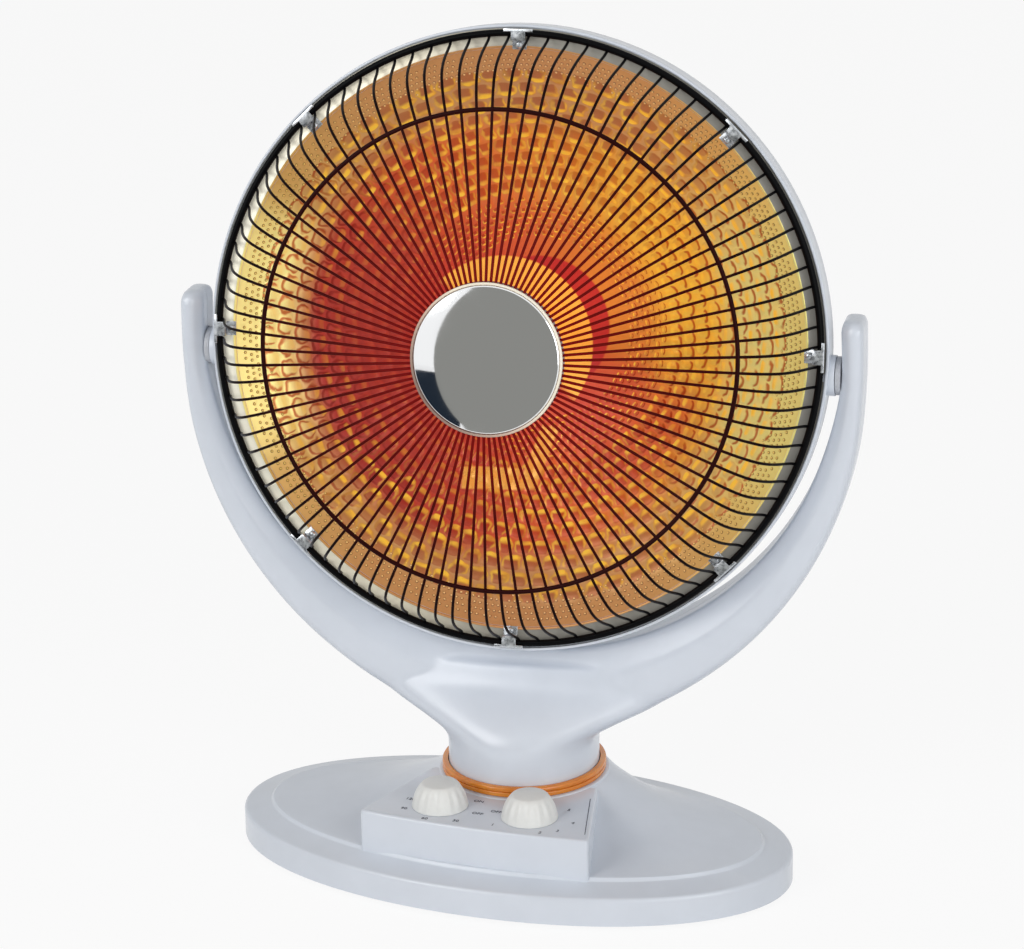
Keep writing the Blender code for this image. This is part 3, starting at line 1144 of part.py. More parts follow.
def make_coil(dish, cone_low, cone_high):
    """One unbroken coiled wire round the conical bobbin, whose ends run straight for a diameter."""
    points = []
    total = COIL_TURNS * COIL_POINTS_PER_TURN
    # A chord of the coil dips towards the cone, so the coil's own radius stands a little further out.
    chord = math.cos(math.pi / COIL_POINTS_PER_TURN)
    for step in range(total + 1):
        share = step / total
        z = cone_low + COIL_INSET + (cone_high - cone_low - 2 * COIL_INSET) * share
        cone_share = (z - cone_low) / (cone_high - cone_low)
        cone = BOBBIN_FOOT_RADIUS + (BOBBIN_TOP_RADIUS - BOBBIN_FOOT_RADIUS) * cone_share
        radius = (cone + COIL_TUBE_RADIUS + GAP) / chord
        angle = math.tau * COIL_TURNS * share
        points.append((radius * math.cos(angle), radius * math.sin(angle), z))

    def lead(tip, inner):
        step = [a - b for a, b in zip(tip, inner)]
        length = math.sqrt(sum(part * part for part in step))
        return tuple(a + 2 * COIL_TUBE_RADIUS * part / length for a, part in zip(tip, step))

    points = [lead(points[0], points[1])] + points + [lead(points[-1], points[-2])]
    near = COIL_POINTS_PER_TURN // 2
    gaps = [
        math.dist(points[i], points[j]) - 2 * COIL_TUBE_RADIUS
        for i in range(len(points))
        for j in range(i + near, len(points))
    ]
    print(f"heating coil: least gap to itself {min(gaps) * 1000:.2f} mm")
    curve = bpy.data.curves.new("element_coil", "CURVE")
    curve.dimensions = "3D"
    curve.bevel_depth = COIL_TUBE_RADIUS
    curve.bevel_resolution = 1
    curve.use_fill_caps = True
    spline = curve.splines.new("POLY")
    spline.points.add(len(points) - 1)
    for point, place in zip(spline.points, points):
        point.co = (*place, 1)
    curve.materials.append(GLOWING_WIRE)
    coil = objects.new("element_coil", curve)
    bpy.context.scene.collection.objects.link(coil)
    coil.parent = dish


heater = add_frame("heater", location=(0, BASE_AHEAD, -PLATE_BOTTOM))
swivel_axis = add_frame("swivel_axis", heater, rotation=(0, 0, SWING_AT_REST))
tilt_axis = add_frame("tilt_axis", swivel_axis, (0, TILT_AXIS_Y, TILT_AXIS_Z), (-PITCH_AT_REST, 0, 0))
dish_axis = add_frame("dish_axis", tilt_axis, (0, -RING_AHEAD, RING_ABOVE), (math.pi / 2, 0, 0))

make_base_cover(heater)
make_base_fittings(heater)
make_trim_ring(heater)
make_controls(heater)
make_plunger(heater)
make_swing_drive(heater, swivel_axis)
make_swivel(heater, swivel_axis)
make_yoke(swivel_axis)
make_pivots(swivel_axis, tilt_axis)

hole_bottom = -SCREW_LENGTH - OVERRUN
screw_hole = rod("screw_hole", SCREW_HOLE_RADIUS, hole_bottom, 0, None, dish_axis, SCREW_SEGMENTS)
flange_holes = spread("flange_holes", screw_hole, CLIP_COUNT, dish_axis, CLIP_SCREW_RADIUS)
make_housing(dish_axis, tilt_axis, flange_holes)
make_reflector(dish_axis, flange_holes)
make_guard(dish_axis)
make_centre_cap(dish_axis)
make_clips(dish_axis)
make_element(dish_axis)
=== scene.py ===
import bpy
import bmesh
import math
from mathutils import Matrix, Vector


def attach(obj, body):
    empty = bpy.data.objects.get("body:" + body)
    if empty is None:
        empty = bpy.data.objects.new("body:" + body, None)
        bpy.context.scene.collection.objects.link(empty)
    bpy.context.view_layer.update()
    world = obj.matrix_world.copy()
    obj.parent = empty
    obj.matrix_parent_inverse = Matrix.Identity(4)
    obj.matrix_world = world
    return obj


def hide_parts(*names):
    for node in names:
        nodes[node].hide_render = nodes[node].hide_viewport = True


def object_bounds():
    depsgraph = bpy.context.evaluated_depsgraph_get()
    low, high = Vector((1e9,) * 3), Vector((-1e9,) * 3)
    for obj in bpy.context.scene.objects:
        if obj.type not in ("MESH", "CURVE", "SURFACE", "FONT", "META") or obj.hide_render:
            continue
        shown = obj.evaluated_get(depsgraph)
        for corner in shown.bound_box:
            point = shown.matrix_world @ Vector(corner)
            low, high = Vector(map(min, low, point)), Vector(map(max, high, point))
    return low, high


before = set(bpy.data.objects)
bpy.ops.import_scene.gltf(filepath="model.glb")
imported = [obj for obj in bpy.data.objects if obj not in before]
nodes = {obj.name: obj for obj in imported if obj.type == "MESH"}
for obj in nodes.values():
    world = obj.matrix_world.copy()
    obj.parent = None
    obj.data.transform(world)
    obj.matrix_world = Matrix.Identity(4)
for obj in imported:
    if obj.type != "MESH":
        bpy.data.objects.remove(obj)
cadLow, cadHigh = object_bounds()
print("stage: frame loaded with", len(nodes), "solids")

# the heater's own frames, as the solids have them: floor, turning neck, tilting head, dish looking forward
stance = {"ahead": 0.0216, "floor": -0.0028, "swing": 7, "tiltAhead": 0.006, "tiltHeight": 0.320,
          "pitch": 8.4, "dishAhead": 0.015, "dishAbove": 0.013}
heaterPlace = Matrix.Translation((0, stance["ahead"], stance["floor"]))
neckPlace = heaterPlace @ Matrix.Rotation(math.radians(stance["swing"]), 4, "Z")
tiltPlace = (neckPlace @ Matrix.Translation((0, stance["tiltAhead"], stance["tiltHeight"]))
             @ Matrix.Rotation(math.radians(-stance["pitch"]), 4, "X"))
dishPlace = (tiltPlace @ Matrix.Translation((0, -stance["dishAhead"], stance["dishAbove"]))
             @ Matrix.Rotation(math.radians(90), 4, "X"))


def linearColour(text):
    # sRGB hex to the linear values that shaders take
    parts = [int(text[i:i + 2], 16) / 255 for i in (1, 3, 5)]
    return (*[p / 12.92 if p <= 0.04045 else ((p + 0.055) / 1.055) ** 2.4 for p in parts], 1.0)


def addNode(tree, kind, settings=None, inputs=None):
    # settings by name, or an operation alone; inputs by name or in order, each a value or a link
    node = tree.nodes.new(kind)
    if isinstance(settings, str):
        settings = {"operation": settings}
    for key, value in (settings or {}).items():
        if key == "stops":
            ramp = node.color_ramp
            while len(ramp.elements) < len(value):
                ramp.elements.new(0.5)
            for element, (place, colour) in zip(ramp.elements, value):
                element.position = place
                element.color = linearColour(colour)
        else:
            setattr(node, key, value)
    wanted = inputs if isinstance(inputs, dict) else dict(enumerate(inputs or []))
    for key, value in wanted.items():
        if isinstance(value, bpy.types.Node):
            value = value.outputs[0]
        if isinstance(value, bpy.types.NodeSocket):
            tree.links.new(value, node.inputs[key])
        else:
            node.inputs[key].default_value = value
    return node


def newMaterial(name, colour, roughness, metallic=0.0, extras=None):
    made = bpy.data.materials.new(name)
    made.use_nodes = True
    shader = made.node_tree.nodes["Principled BSDF"]
    shader.inputs["Base Color"].default_value = linearColour(colour)
    shader.inputs["Roughness"].default_value = roughness
    shader.inputs["Metallic"].default_value = metallic
    for key, value in (extras or {}).items():
        shader.inputs[key].default_value = value
    return made, made.node_tree, shader


def addGrain(tree, shader, sizeMm, depthMm, colours=None, spread=None, stretch=(1, 1, 1)):
    # a fine surface: grain of a real size in the bump, and in the colour or the roughness where asked
    place = addNode(tree, "ShaderNodeTexCoord")
    scaled = addNode(tree, "ShaderNodeMapping", {}, {"Vector": place.outputs["Object"], "Scale": stretch})
    noise = addNode(tree, "ShaderNodeTexNoise", {}, {"Vector": scaled, "Scale": 1000 / sizeMm, "Detail": 3.0,
                                                    "Roughness": 0.55})
    if colours:
        tint = addNode(tree, "ShaderNodeValToRGB", {"stops": colours}, [noise])
        tree.links.new(tint.outputs["Color"], shader.inputs["Base Color"])
    if spread:
        worn = addNode(tree, "ShaderNodeMapRange", {}, [noise, 0.3, 0.7, *spread])
        tree.links.new(worn.outputs["Result"], shader.inputs["Roughness"])
    if depthMm:
        bump = addNode(tree, "ShaderNodeBump", {}, {"Height": noise.outputs["Fac"], "Distance": depthMm / 1000,
                                                   "Strength": 1.0})
        tree.links.new(bump.outputs["Normal"], shader.inputs["Normal"])
    return noise


def lightUp(tree, shader, tone, strength):
    # the same tone as colour and as a weak glow
    tree.links.new(tone, shader.inputs["Base Color"])
    tree.links.new(tone, shader.inputs["Emission Color"])
    shader.inputs["Emission Strength"].default_value = strength


# glossy ABS, injection moulded: cool white, a clear reflection that wavers a little with the wall behind it
glossyAbs, tree, shader = newMaterial("glossy_white_moulded_abs", "#d8dee7", 0.24, 0.0, {"IOR": 1.53})
addGrain(tree, shader, 26, 0.03, [(0.3, "#d6dce5"), (0.7, "#dae0e9")], (0.22, 0.27))
# knobs in satin polypropylene: warmer and duller than the housing
satinPolypropylene, tree, shader = newMaterial("satin_ivory_polypropylene", "#e6e7e4", 0.38, 0.0,
                                               {"IOR": 1.49})
addGrain(tree, shader, 3, 0.01, [(0.3, "#e4e5e2"), (0.7, "#e8e9e6")], (0.34, 0.44))
# tinted polycarbonate, moulded clear: light enters the ring and comes out deeper orange
orangePolycarbonate, tree, shader = newMaterial(
    "orange_tinted_polycarbonate", "#e0841c", 0.18, 0.0,
    {"IOR": 1.58, "Subsurface Weight": 0.15, "Subsurface Scale": 0.002})
addGrain(tree, shader, 12, 0.02, [(0.3, "#d67812"), (0.7, "#e68f2a")])
# zinc plated spring steel, bent cold: bluish metal with faint spangles
zincPlate, tree, shader = newMaterial("zinc_plated_spring_steel", "#c6cacf", 0.28, 1.0)
addGrain(tree, shader, 2.2, 0.012, [(0.3, "#aeb3b9"), (0.7, "#d6d9dc")], (0.2, 0.38))
# bare rolled steel for the works inside, with its rolling lines drawn out
rolledSteel, tree, shader = newMaterial("rolled_mild_steel", "#8d9197", 0.38, 1.0)
addGrain(tree, shader, 1.5, 0.01, [(0.3, "#7c8086"), (0.7, "#999da3")], (0.3, 0.48), (1, 0.15, 1))
# hard chrome over nickel, buffed: a dark clean mirror
buffedChrome, tree, shader = newMaterial("buffed_chrome_plate", "#f0f1f2", 0.03, 1.0)
addGrain(tree, shader, 18, 0.004, None, (0.03, 0.06))
# turned nylon washers and the plunger: soft grey, half matt
greyNylon, tree, shader = newMaterial("grey_natural_nylon", "#b9bcc2", 0.42, 0.0, {"IOR": 1.53})
addGrain(tree, shader, 2, 0.01, [(0.3, "#b1b4ba"), (0.7, "#c1c4ca")], (0.36, 0.5))
# moulded phenolic for the switch bodies and the gland: nearly black, half matt
darkPhenolic, tree, shader = newMaterial("dark_moulded_phenolic", "#1d1d20", 0.45, 0.0, {"IOR": 1.6})
addGrain(tree, shader, 1.2, 0.01, [(0.3, "#18181b"), (0.7, "#242428")], (0.38, 0.55))
# feet: matt rubber with a fine tooth
mattRubber, tree, shader = newMaterial("matt_black_rubber", "#17181a", 0.8, 0.0, {"IOR": 1.52})
addGrain(tree, shader, 0.8, 0.04, [(0.3, "#131415"), (0.7, "#1e1f21")], (0.7, 0.9))
# resistance wire at working heat: it shines by itself, unevenly along its length
hotNichrome, tree, shader = newMaterial("glowing_nichrome_wire", "#8a3414", 0.5, 0.4, {"Emission Strength": 1.2})
heat = addGrain(tree, shader, 9, 0.0)
shine = addNode(tree, "ShaderNodeValToRGB", {"stops": [(0.3, "#ff5a12"), (0.7, "#ffb23c")]}, [heat])
tree.links.new(shine.outputs["Color"], shader.inputs["Emission Color"])
# steatite next to the hot coil: dry, faintly speckled, and full of the coil's orange light
hotSteatite, tree, shader = newMaterial(
    "steatite_lit_by_the_coil", "#d98e34", 0.6, 0.0,
    {"IOR": 1.56, "Emission Color": linearColour("#ffac3c"), "Emission Strength": 0.6})
addGrain(tree, shader, 1.4, 0.03, [(0.35, "#d18429"), (0.6, "#df9a42")], (0.5, 0.7))
# pad printing ink, thin and matt
padInk, tree, shader = newMaterial("grey_pad_printing_ink", "#3a3f4c", 0.55)
addGrain(tree, shader, 0.6, 0.0, [(0.3, "#343946"), (0.7, "#454a58")], (0.5, 0.65))


def dishCoordinates(tree):
    # the point in the dish's own frame: all of it, its x and y, both together, and how far out it lies
    place = addNode(tree, "ShaderNodeTexCoord")
    turned = addNode(tree, "ShaderNodeMapping", {"vector_type": "TEXTURE"},
                     {"Vector": place.outputs["Object"], "Location": dishPlace.to_translation(),
                      "Rotation": dishPlace.to_euler()}).outputs["Vector"]
    split = addNode(tree, "ShaderNodeSeparateXYZ", {}, [turned])
    flat = addNode(tree, "ShaderNodeCombineXYZ", {}, [split.outputs["X"], split.outputs["Y"]]).outputs["Vector"]
    away = addNode(tree, "ShaderNodeVectorMath", "LENGTH", [flat]).outputs["Value"]
    return turned, split.outputs["X"], split.outputs["Y"], flat, away


# enamelled steel wire: gloss black, and dark red where it stands before the hot middle of the dish: the element's
# light, painted into its colour and a weak glow
wireLook = {"glow": 0.5, "from": 0.035, "to": 0.187,
            "tones": [(0.0, "#6a0a0a"), (0.45, "#3a0505"), (0.8, "#120404"), (1.0, "#050506")]}
glossEnamel, tree, shader = newMaterial("black_enamelled_steel_wire", "#0b0b0d", 0.36, 0.0,
                                        {"IOR": 1.3, "Specular IOR Level": 0.12})
_, _, _, _, away = dishCoordinates(tree)
outShare = addNode(tree, "ShaderNodeMapRange", {}, [away, wireLook["from"], wireLook["to"]])
warm = addNode(tree, "ShaderNodeValToRGB", {"stops": wireLook["tones"]}, [outShare])
lightUp(tree, shader, warm.outputs["Color"], wireLook["glow"])

# bright rolled aluminium: the bare flange, with painted reflection and a weak painted glow: cream where it throws
# the light back at its left, grey at its right
rimLook = {"glow": 0.12, "tones": [(0.0, "#fffbe8"), (0.3, "#ece4cc"), (0.5, "#96938a"), (1.0, "#7c7a74")]}
brightAluminium, tree, shader = newMaterial("bright_rolled_aluminium", "#d9dbdd", 0.42, 0.25)
addGrain(tree, shader, 14, 0.001, None, (0.38, 0.46))
_, across, _, _, away = dishCoordinates(tree)
leftToRight = addNode(tree, "ShaderNodeMath", "DIVIDE", [across, away])
rimShare = addNode(tree, "ShaderNodeMapRange", {}, [leftToRight, -1.0, 1.0])
rimReflectionTone = addNode(tree, "ShaderNodeValToRGB", {"stops": rimLook["tones"]}, [rimShare])
lightUp(tree, shader, rimReflectionTone.outputs["Color"], rimLook["glow"])

# moulded nylon in cream: the ring round the cap, darker where the dish shades it, below and at its left
ringLook = {"aside": 0.8, "above": 0.6,
            "tones": [(0.0, "#8d7468"), (0.35, "#cfb5a2"), (0.6, "#f2e8d2"), (1.0, "#f9f1de")]}
creamNylon, tree, shader = newMaterial("cream_moulded_nylon", "#f0e6cf", 0.3, 0.0, {"IOR": 1.53})
_, across, upward, _, away = dishCoordinates(tree)
high = addNode(tree, "ShaderNodeMath", "MULTIPLY", [upward, ringLook["above"]])
highRight = addNode(tree, "ShaderNodeMath", "MULTIPLY_ADD", [across, ringLook["aside"], high])
ringSide = addNode(tree, "ShaderNodeMath", "DIVIDE", [highRight, away])
ringShare = addNode(tree, "ShaderNodeMapRange", {}, [ringSide, -1.0, 1.0])
ringTone = addNode(tree, "ShaderNodeValToRGB", {"stops": ringLook["tones"]}, [ringShare])
tree.links.new(ringTone.outputs["Color"], shader.inputs["Base Color"])

# the reflector is one pressed sheet: coarse domes, fine ones near the middle, and raised dots at its lip
dish = {"lip": 0.1787, "depth": 0.072, "drop": 0.0018, "flange": -0.002725, "edge": 0.19055, "hole": 0.0172,
        "wall": 0.0009, "segments": 504, "columns": 72, "smoothStart": 0.0445,
        "coarseStart": 0.1660, "coarsePitch": 0.0089, "coarseRows": 9, "coarseHeight": 0.0009,
        "coarseWide": 0.5, "coarseDeep": 0.5,
        "fineStart": 0.0840, "finePitch": 0.0038, "fineRows": 7, "fineHeight": 0.0003,
        "fineWide": 0.34, "fineDeep": 0.40,
        "dotStart": 0.1745, "dotPitch": 0.0031, "dotRows": 5, "dotColumns": 3, "dotGroups": 90,
        "dotRadius": 0.0013, "dotSink": 0.0005, "dotSides": 6, "dotRings": 4, "dotApart": 0.30,
        "dotStagger": 0.15, "rimFrom": 0.0012}
# gold anodised aluminium: the hot element glows in every dome, so the sheet looks lit from inside; its reds, oranges
# and yellows are the element's reflection and glow, painted over the gold as colour and a weak emission
heatLook = {"glow": 0.24, "metallic": 0.3, "roughness": 0.34, "warmSide": 20, "smoothRadius": 0.0455,
            "hotDisc": (-0.023, -0.013), "hotDiscRadius": 0.0575, "hotSide": 50,
            "patchAt": (-0.026, -0.0955), "patchHalf": (0.0185, 0.0072),
            "armAt": (0.003, -0.082), "armTurn": 72, "armHalf": (0.0062, 0.020),
            "blotchMm": 34, "speckleMm": 11, "wanderMm": 7, "cellPower": 2.6,
            "inner": [(0.0, "#a8342c"), (0.15, "#b43f2d"), (0.38, "#cc5c30"), (0.62, "#d67a36"),
                      (0.82, "#d99a38"), (1.0, "#e6b63c")],
            "outer": [(0.0, "#bb8756"), (0.5, "#c08e57"), (0.78, "#c9a15c"), (0.90, "#d4ba6a"),
                      (1.0, "#d6ca78")],
            "farLeft": "#fcec96", "fine": "#c03a34", "domePaintedShade": "#c97b60", "domePaintedHighlight": "#f4c842",
            "band": "#b52f30", "patch": "#e2a047", "disc": "#fbbd50"}
smoothly = {"interpolation_type": "SMOOTHSTEP"}
inColour = {"data_type": "RGBA"}
goldAnodisedPaintedGlow, tree, shader = newMaterial("gold_anodised_aluminium_painted_glow", "#d8863e", heatLook["roughness"],
                                         heatLook["metallic"])
dishPoint, across, upward, flatPoint, away = dishCoordinates(tree)
sideways = addNode(tree, "ShaderNodeMath", "DIVIDE", [across, away])
rising = addNode(tree, "ShaderNodeMath", "DIVIDE", [upward, away])
sideShare = addNode(tree, "ShaderNodeMath", "ABSOLUTE", [sideways])
topShare = addNode(tree, "ShaderNodeMath", "ABSOLUTE", [rising])
blotch, speckle, wander = (
    addNode(tree, "ShaderNodeTexNoise", {}, {"Vector": dishPoint, "Scale": 1000 / heatLook[size], "Detail": fine})
    for size, fine in (("blotchMm", 2.0), ("speckleMm", 1.0), ("wanderMm", 1.0)))
# painted reflection of the element: red at the left of the middle, orange yellow at its right
warmTurn = math.radians(heatLook["warmSide"])
leftRight = addNode(tree, "ShaderNodeMath", "MULTIPLY_ADD", [sideways, math.cos(warmTurn) / 2, 0.44])
tilted = addNode(tree, "ShaderNodeMath", "MULTIPLY_ADD", [rising, math.sin(warmTurn) / 2, leftRight])
warmth = addNode(tree, "ShaderNodeMath", "MULTIPLY_ADD", [blotch, 0.12, tilted])
# and a redder painted reflection again at the lower right, close to the middle
lowerRight = addNode(tree, "ShaderNodeMath", "SUBTRACT", [sideways, rising])
reddened = addNode(tree, "ShaderNodeMapRange", smoothly, [lowerRight, 1.15, 1.41, 0.0, 0.35])
nearMiddle = addNode(tree, "ShaderNodeMapRange", smoothly, [away, 0.120, 0.105])
dip = addNode(tree, "ShaderNodeMath", "MULTIPLY", [reddened, nearMiddle])
warmth = addNode(tree, "ShaderNodeMath", "SUBTRACT", [warmth, dip])
innerTone = addNode(tree, "ShaderNodeValToRGB", {"stops": heatLook["inner"]}, [warmth])
# nearer the middle, where the fine domes are, the painted glow turns red
fineShare = addNode(tree, "ShaderNodeMapRange", {}, [away, 0.086, 0.070, 0.0, 0.5])
reddish = addNode(tree, "ShaderNodeMix", inColour,
                  {0: fineShare, 6: innerTone, 7: linearColour(heatLook["fine"])}).outputs[2]
# the outer part's painted reflection goes yellow at both sides, paler at the far left, and copper brown above and
# below
biased = addNode(tree, "ShaderNodeMath", "MULTIPLY_ADD", [sideways, 0.08, sideShare])
sideTone = addNode(tree, "ShaderNodeValToRGB", {"stops": heatLook["outer"]}, [biased])
farLeft = addNode(tree, "ShaderNodeMapRange", smoothly, [sideways, -0.86, -0.97])
outerTone = addNode(tree, "ShaderNodeMix", inColour,
                    {0: farLeft, 6: sideTone, 7: linearColour(heatLook["farLeft"])}).outputs[2]
edgeStart = addNode(tree, "ShaderNodeMath", "MULTIPLY_ADD", [warmth, -0.022, 0.135])
pastEdge = addNode(tree, "ShaderNodeMath", "SUBTRACT", [away, edgeStart])
outerShare = addNode(tree, "ShaderNodeMapRange", smoothly, [pastEdge, 0.0, 0.024])
plainTone = addNode(tree, "ShaderNodeMix", inColour, {0: outerShare, 6: reddish, 7: outerTone}).outputs[2]
# each dome has a painted highlight where it looks inwards, at the element, and painted shade where it looks away
wanderTurn = addNode(tree, "ShaderNodeMapRange", {}, [wander, 0.3, 0.7, -0.010, 0.010])
wanderOut = addNode(tree, "ShaderNodeMapRange", {}, [speckle, 0.3, 0.7, -0.0007, 0.0007])
turns = addNode(tree, "ShaderNodeMath", "ARCTAN2", [upward, across])
turns = addNode(tree, "ShaderNodeMath", "ADD", [turns, wanderTurn])
reach = addNode(tree, "ShaderNodeMath", "ADD", [away, wanderOut])
columns = addNode(tree, "ShaderNodeMath", "MULTIPLY_ADD",
                  [turns, dish["columns"] / math.tau, 10.0 * dish["columns"]])
paintedHighlightShare, paintedShadeShare = 0.0, 0.0
for zone in ("coarse", "fine"):
    start, pitch, rows, wide, deep = (dish[zone + key] for key in ("Start", "Pitch", "Rows", "Wide", "Deep"))
    phase = addNode(tree, "ShaderNodeMath", "MULTIPLY_ADD", [reach, -1 / pitch, start / pitch])
    row = addNode(tree, "ShaderNodeMath", "FLOOR", [phase])
    odd = addNode(tree, "ShaderNodeMath", "FLOORED_MODULO", [row, 2.0])
    shifted = addNode(tree, "ShaderNodeMath", "MULTIPLY_ADD", [odd, 0.5, columns])
    inColumn = addNode(tree, "ShaderNodeMath", "FRACT", [shifted])
    inRow = addNode(tree, "ShaderNodeMath", "FRACT", [phase])
    # from the dome's middle: how far round, and how far in towards the axis
    aside = addNode(tree, "ShaderNodeMapRange", {"clamp": False}, [inColumn, 0.0, 1.0, -0.5 / wide, 0.5 / wide])
    aside = addNode(tree, "ShaderNodeMath", "ABSOLUTE", [aside])
    inwards = addNode(tree, "ShaderNodeMapRange", {"clamp": False}, [inRow, 0.0, 1.0, -0.5 / deep, 0.5 / deep])
    ends = addNode(tree, "ShaderNodeMath", "ABSOLUTE", [inwards])
    powers = [addNode(tree, "ShaderNodeMath", "POWER", [part, heatLook["cellPower"]]) for part in (aside, ends)]
    bothPowers = addNode(tree, "ShaderNodeMath", "ADD", powers)
    fromTop = addNode(tree, "ShaderNodeMath", "POWER", [bothPowers, 1 / heatLook["cellPower"]])
    within = addNode(tree, "ShaderNodeMapRange", smoothly, [fromTop, 1.0, 0.80])
    begun = addNode(tree, "ShaderNodeMath", "GREATER_THAN", [phase, 0.0])
    going = addNode(tree, "ShaderNodeMath", "LESS_THAN", [phase, float(rows)])
    inZone = addNode(tree, "ShaderNodeMath", "MULTIPLY", [begun, going])
    within = addNode(tree, "ShaderNodeMath", "MULTIPLY", [within, inZone])
    slopeShare = addNode(tree, "ShaderNodeMapRange", smoothly, [fromTop, 0.42, 0.70])
    facingIn = addNode(tree, "ShaderNodeMapRange", smoothly, [inwards, 0.10, 0.55])
    facingOut = addNode(tree, "ShaderNodeMapRange", smoothly, [inwards, -0.05, -0.42])
    flank = addNode(tree, "ShaderNodeMapRange", smoothly, [aside, 0.42, 0.75])
    flank = addNode(tree, "ShaderNodeMath", "MULTIPLY", [flank, slopeShare])
    offFlank = addNode(tree, "ShaderNodeMath", "SUBTRACT", [1.0, flank])
    bright = addNode(tree, "ShaderNodeMath", "MULTIPLY", [facingIn, offFlank])
    # the flanks get painted highlights above and below the middle, and painted shade at its left
    flankLit = addNode(tree, "ShaderNodeMapRange", {}, [topShare, 0.5, 0.9, 0.0, 0.6])
    bright = addNode(tree, "ShaderNodeMath", "MULTIPLY_ADD", [flank, flankLit, bright])
    paintedHighlightShare = addNode(tree, "ShaderNodeMath", "MULTIPLY_ADD", [bright, within, paintedHighlightShare])
    flankDark = addNode(tree, "ShaderNodeMapRange", {}, [sideways, -0.4, -0.9])
    outDark = addNode(tree, "ShaderNodeMapRange", {}, [sideShare, 0.2, 0.8, 0.15, 1.0])
    outerSlope = addNode(tree, "ShaderNodeMath", "MULTIPLY", [facingOut, slopeShare])
    dark = addNode(tree, "ShaderNodeMath", "MULTIPLY", [outerSlope, outDark])
    darkFlank = addNode(tree, "ShaderNodeMath", "MULTIPLY", [flank, flankDark])
    dark = addNode(tree, "ShaderNodeMath", "MAXIMUM", [dark, darkFlank])
    # above and below the middle a whole dome gets painted shade, darker than the sheet round it
    topDark = addNode(tree, "ShaderNodeMapRange", {}, [topShare, 0.3, 0.8, 0.0, 0.6])
    dark = addNode(tree, "ShaderNodeMath", "MAXIMUM", [dark, topDark])
    paintedShadeShare = addNode(tree, "ShaderNodeMath", "MULTIPLY_ADD", [dark, within, paintedShadeShare])
# little of the painted highlight and shade shows in the red part, and no two domes shine quite alike
warmStart = addNode(tree, "ShaderNodeMapRange", {}, [warmth, 0.05, 0.4, 0.12, 1.0])
outStart = addNode(tree, "ShaderNodeMapRange", smoothly, [away, 0.104, 0.134])
strength = addNode(tree, "ShaderNodeMath", "MAXIMUM", [warmStart, outStart])
uneven = addNode(tree, "ShaderNodeMapRange", {}, [speckle, 0.36, 0.6, 0.35, 1.0])
leftCalm = addNode(tree, "ShaderNodeMapRange", {}, [sideways, -1.0, -0.8, 0.2, 1.0])
brightness = addNode(tree, "ShaderNodeMath", "MULTIPLY", [strength, uneven])
brightness = addNode(tree, "ShaderNodeMath", "MULTIPLY", [brightness, leftCalm])
clamped = {"operation": "MULTIPLY", "use_clamp": True}
paintedHighlightShare = addNode(tree, "ShaderNodeMath", clamped, [paintedHighlightShare, brightness])
paintedShadeShare = addNode(tree, "ShaderNodeMath", clamped, [paintedShadeShare, strength])
darkened = addNode(tree, "ShaderNodeMix", {"data_type": "RGBA", "blend_type": "MULTIPLY"},
                   {0: paintedShadeShare, 6: plainTone, 7: linearColour(heatLook["domePaintedShade"])}).outputs[2]
domed = addNode(tree, "ShaderNodeMix", inColour,
                {0: paintedHighlightShare, 6: darkened, 7: linearColour(heatLook["domePaintedHighlight"])}).outputs[2]
# the smooth middle: a band of painted red glow, and over it the bright disc that is the element's own painted
# reflection
smoothRadius, discRadius = heatLook["smoothRadius"], heatLook["hotDiscRadius"]
innerShare = addNode(tree, "ShaderNodeMapRange", {}, [away, smoothRadius, smoothRadius - 0.0012])
banded = addNode(tree, "ShaderNodeMix", inColour,
                 {0: innerShare, 6: domed, 7: linearColour(heatLook["band"])}).outputs[2]
discX, discY = heatLook["hotDisc"]
fromDisc = addNode(tree, "ShaderNodeVectorMath", "DISTANCE", [flatPoint, (discX, discY, 0)]).outputs["Value"]
inDisc = addNode(tree, "ShaderNodeMapRange", {}, [fromDisc, discRadius, discRadius - 0.001])
# only its upper right shows the element's painted reflection, and the rest of it stays red
discTurn = math.radians(heatLook["hotSide"])
discStart = -discX * math.cos(discTurn) - discY * math.sin(discTurn)
upRight = addNode(tree, "ShaderNodeMath", "MULTIPLY_ADD", [upward, math.sin(discTurn), discStart])
upRight = addNode(tree, "ShaderNodeMath", "MULTIPLY_ADD", [across, math.cos(discTurn), upRight])
hotSide = addNode(tree, "ShaderNodeMapRange", {}, [upRight, 0.003, 0.008])
discShare = addNode(tree, "ShaderNodeMath", "MULTIPLY", [inDisc, hotSide])
# the element's painted reflection shows once more below the middle, as a short bar
barParts = []
for place, middle, half, soft in ((across, heatLook["patchAt"][0], heatLook["patchHalf"][0], 0.0015),
                                  (upward, heatLook["patchAt"][1], heatLook["patchHalf"][1], 0.0012)):
    offBar = addNode(tree, "ShaderNodeMath", "SUBTRACT", [place, middle])
    offBar = addNode(tree, "ShaderNodeMath", "ABSOLUTE", [offBar])
    barParts.append(addNode(tree, "ShaderNodeMapRange", {}, [offBar, half, half - soft]))
barShare = addNode(tree, "ShaderNodeMath", "MULTIPLY", barParts)
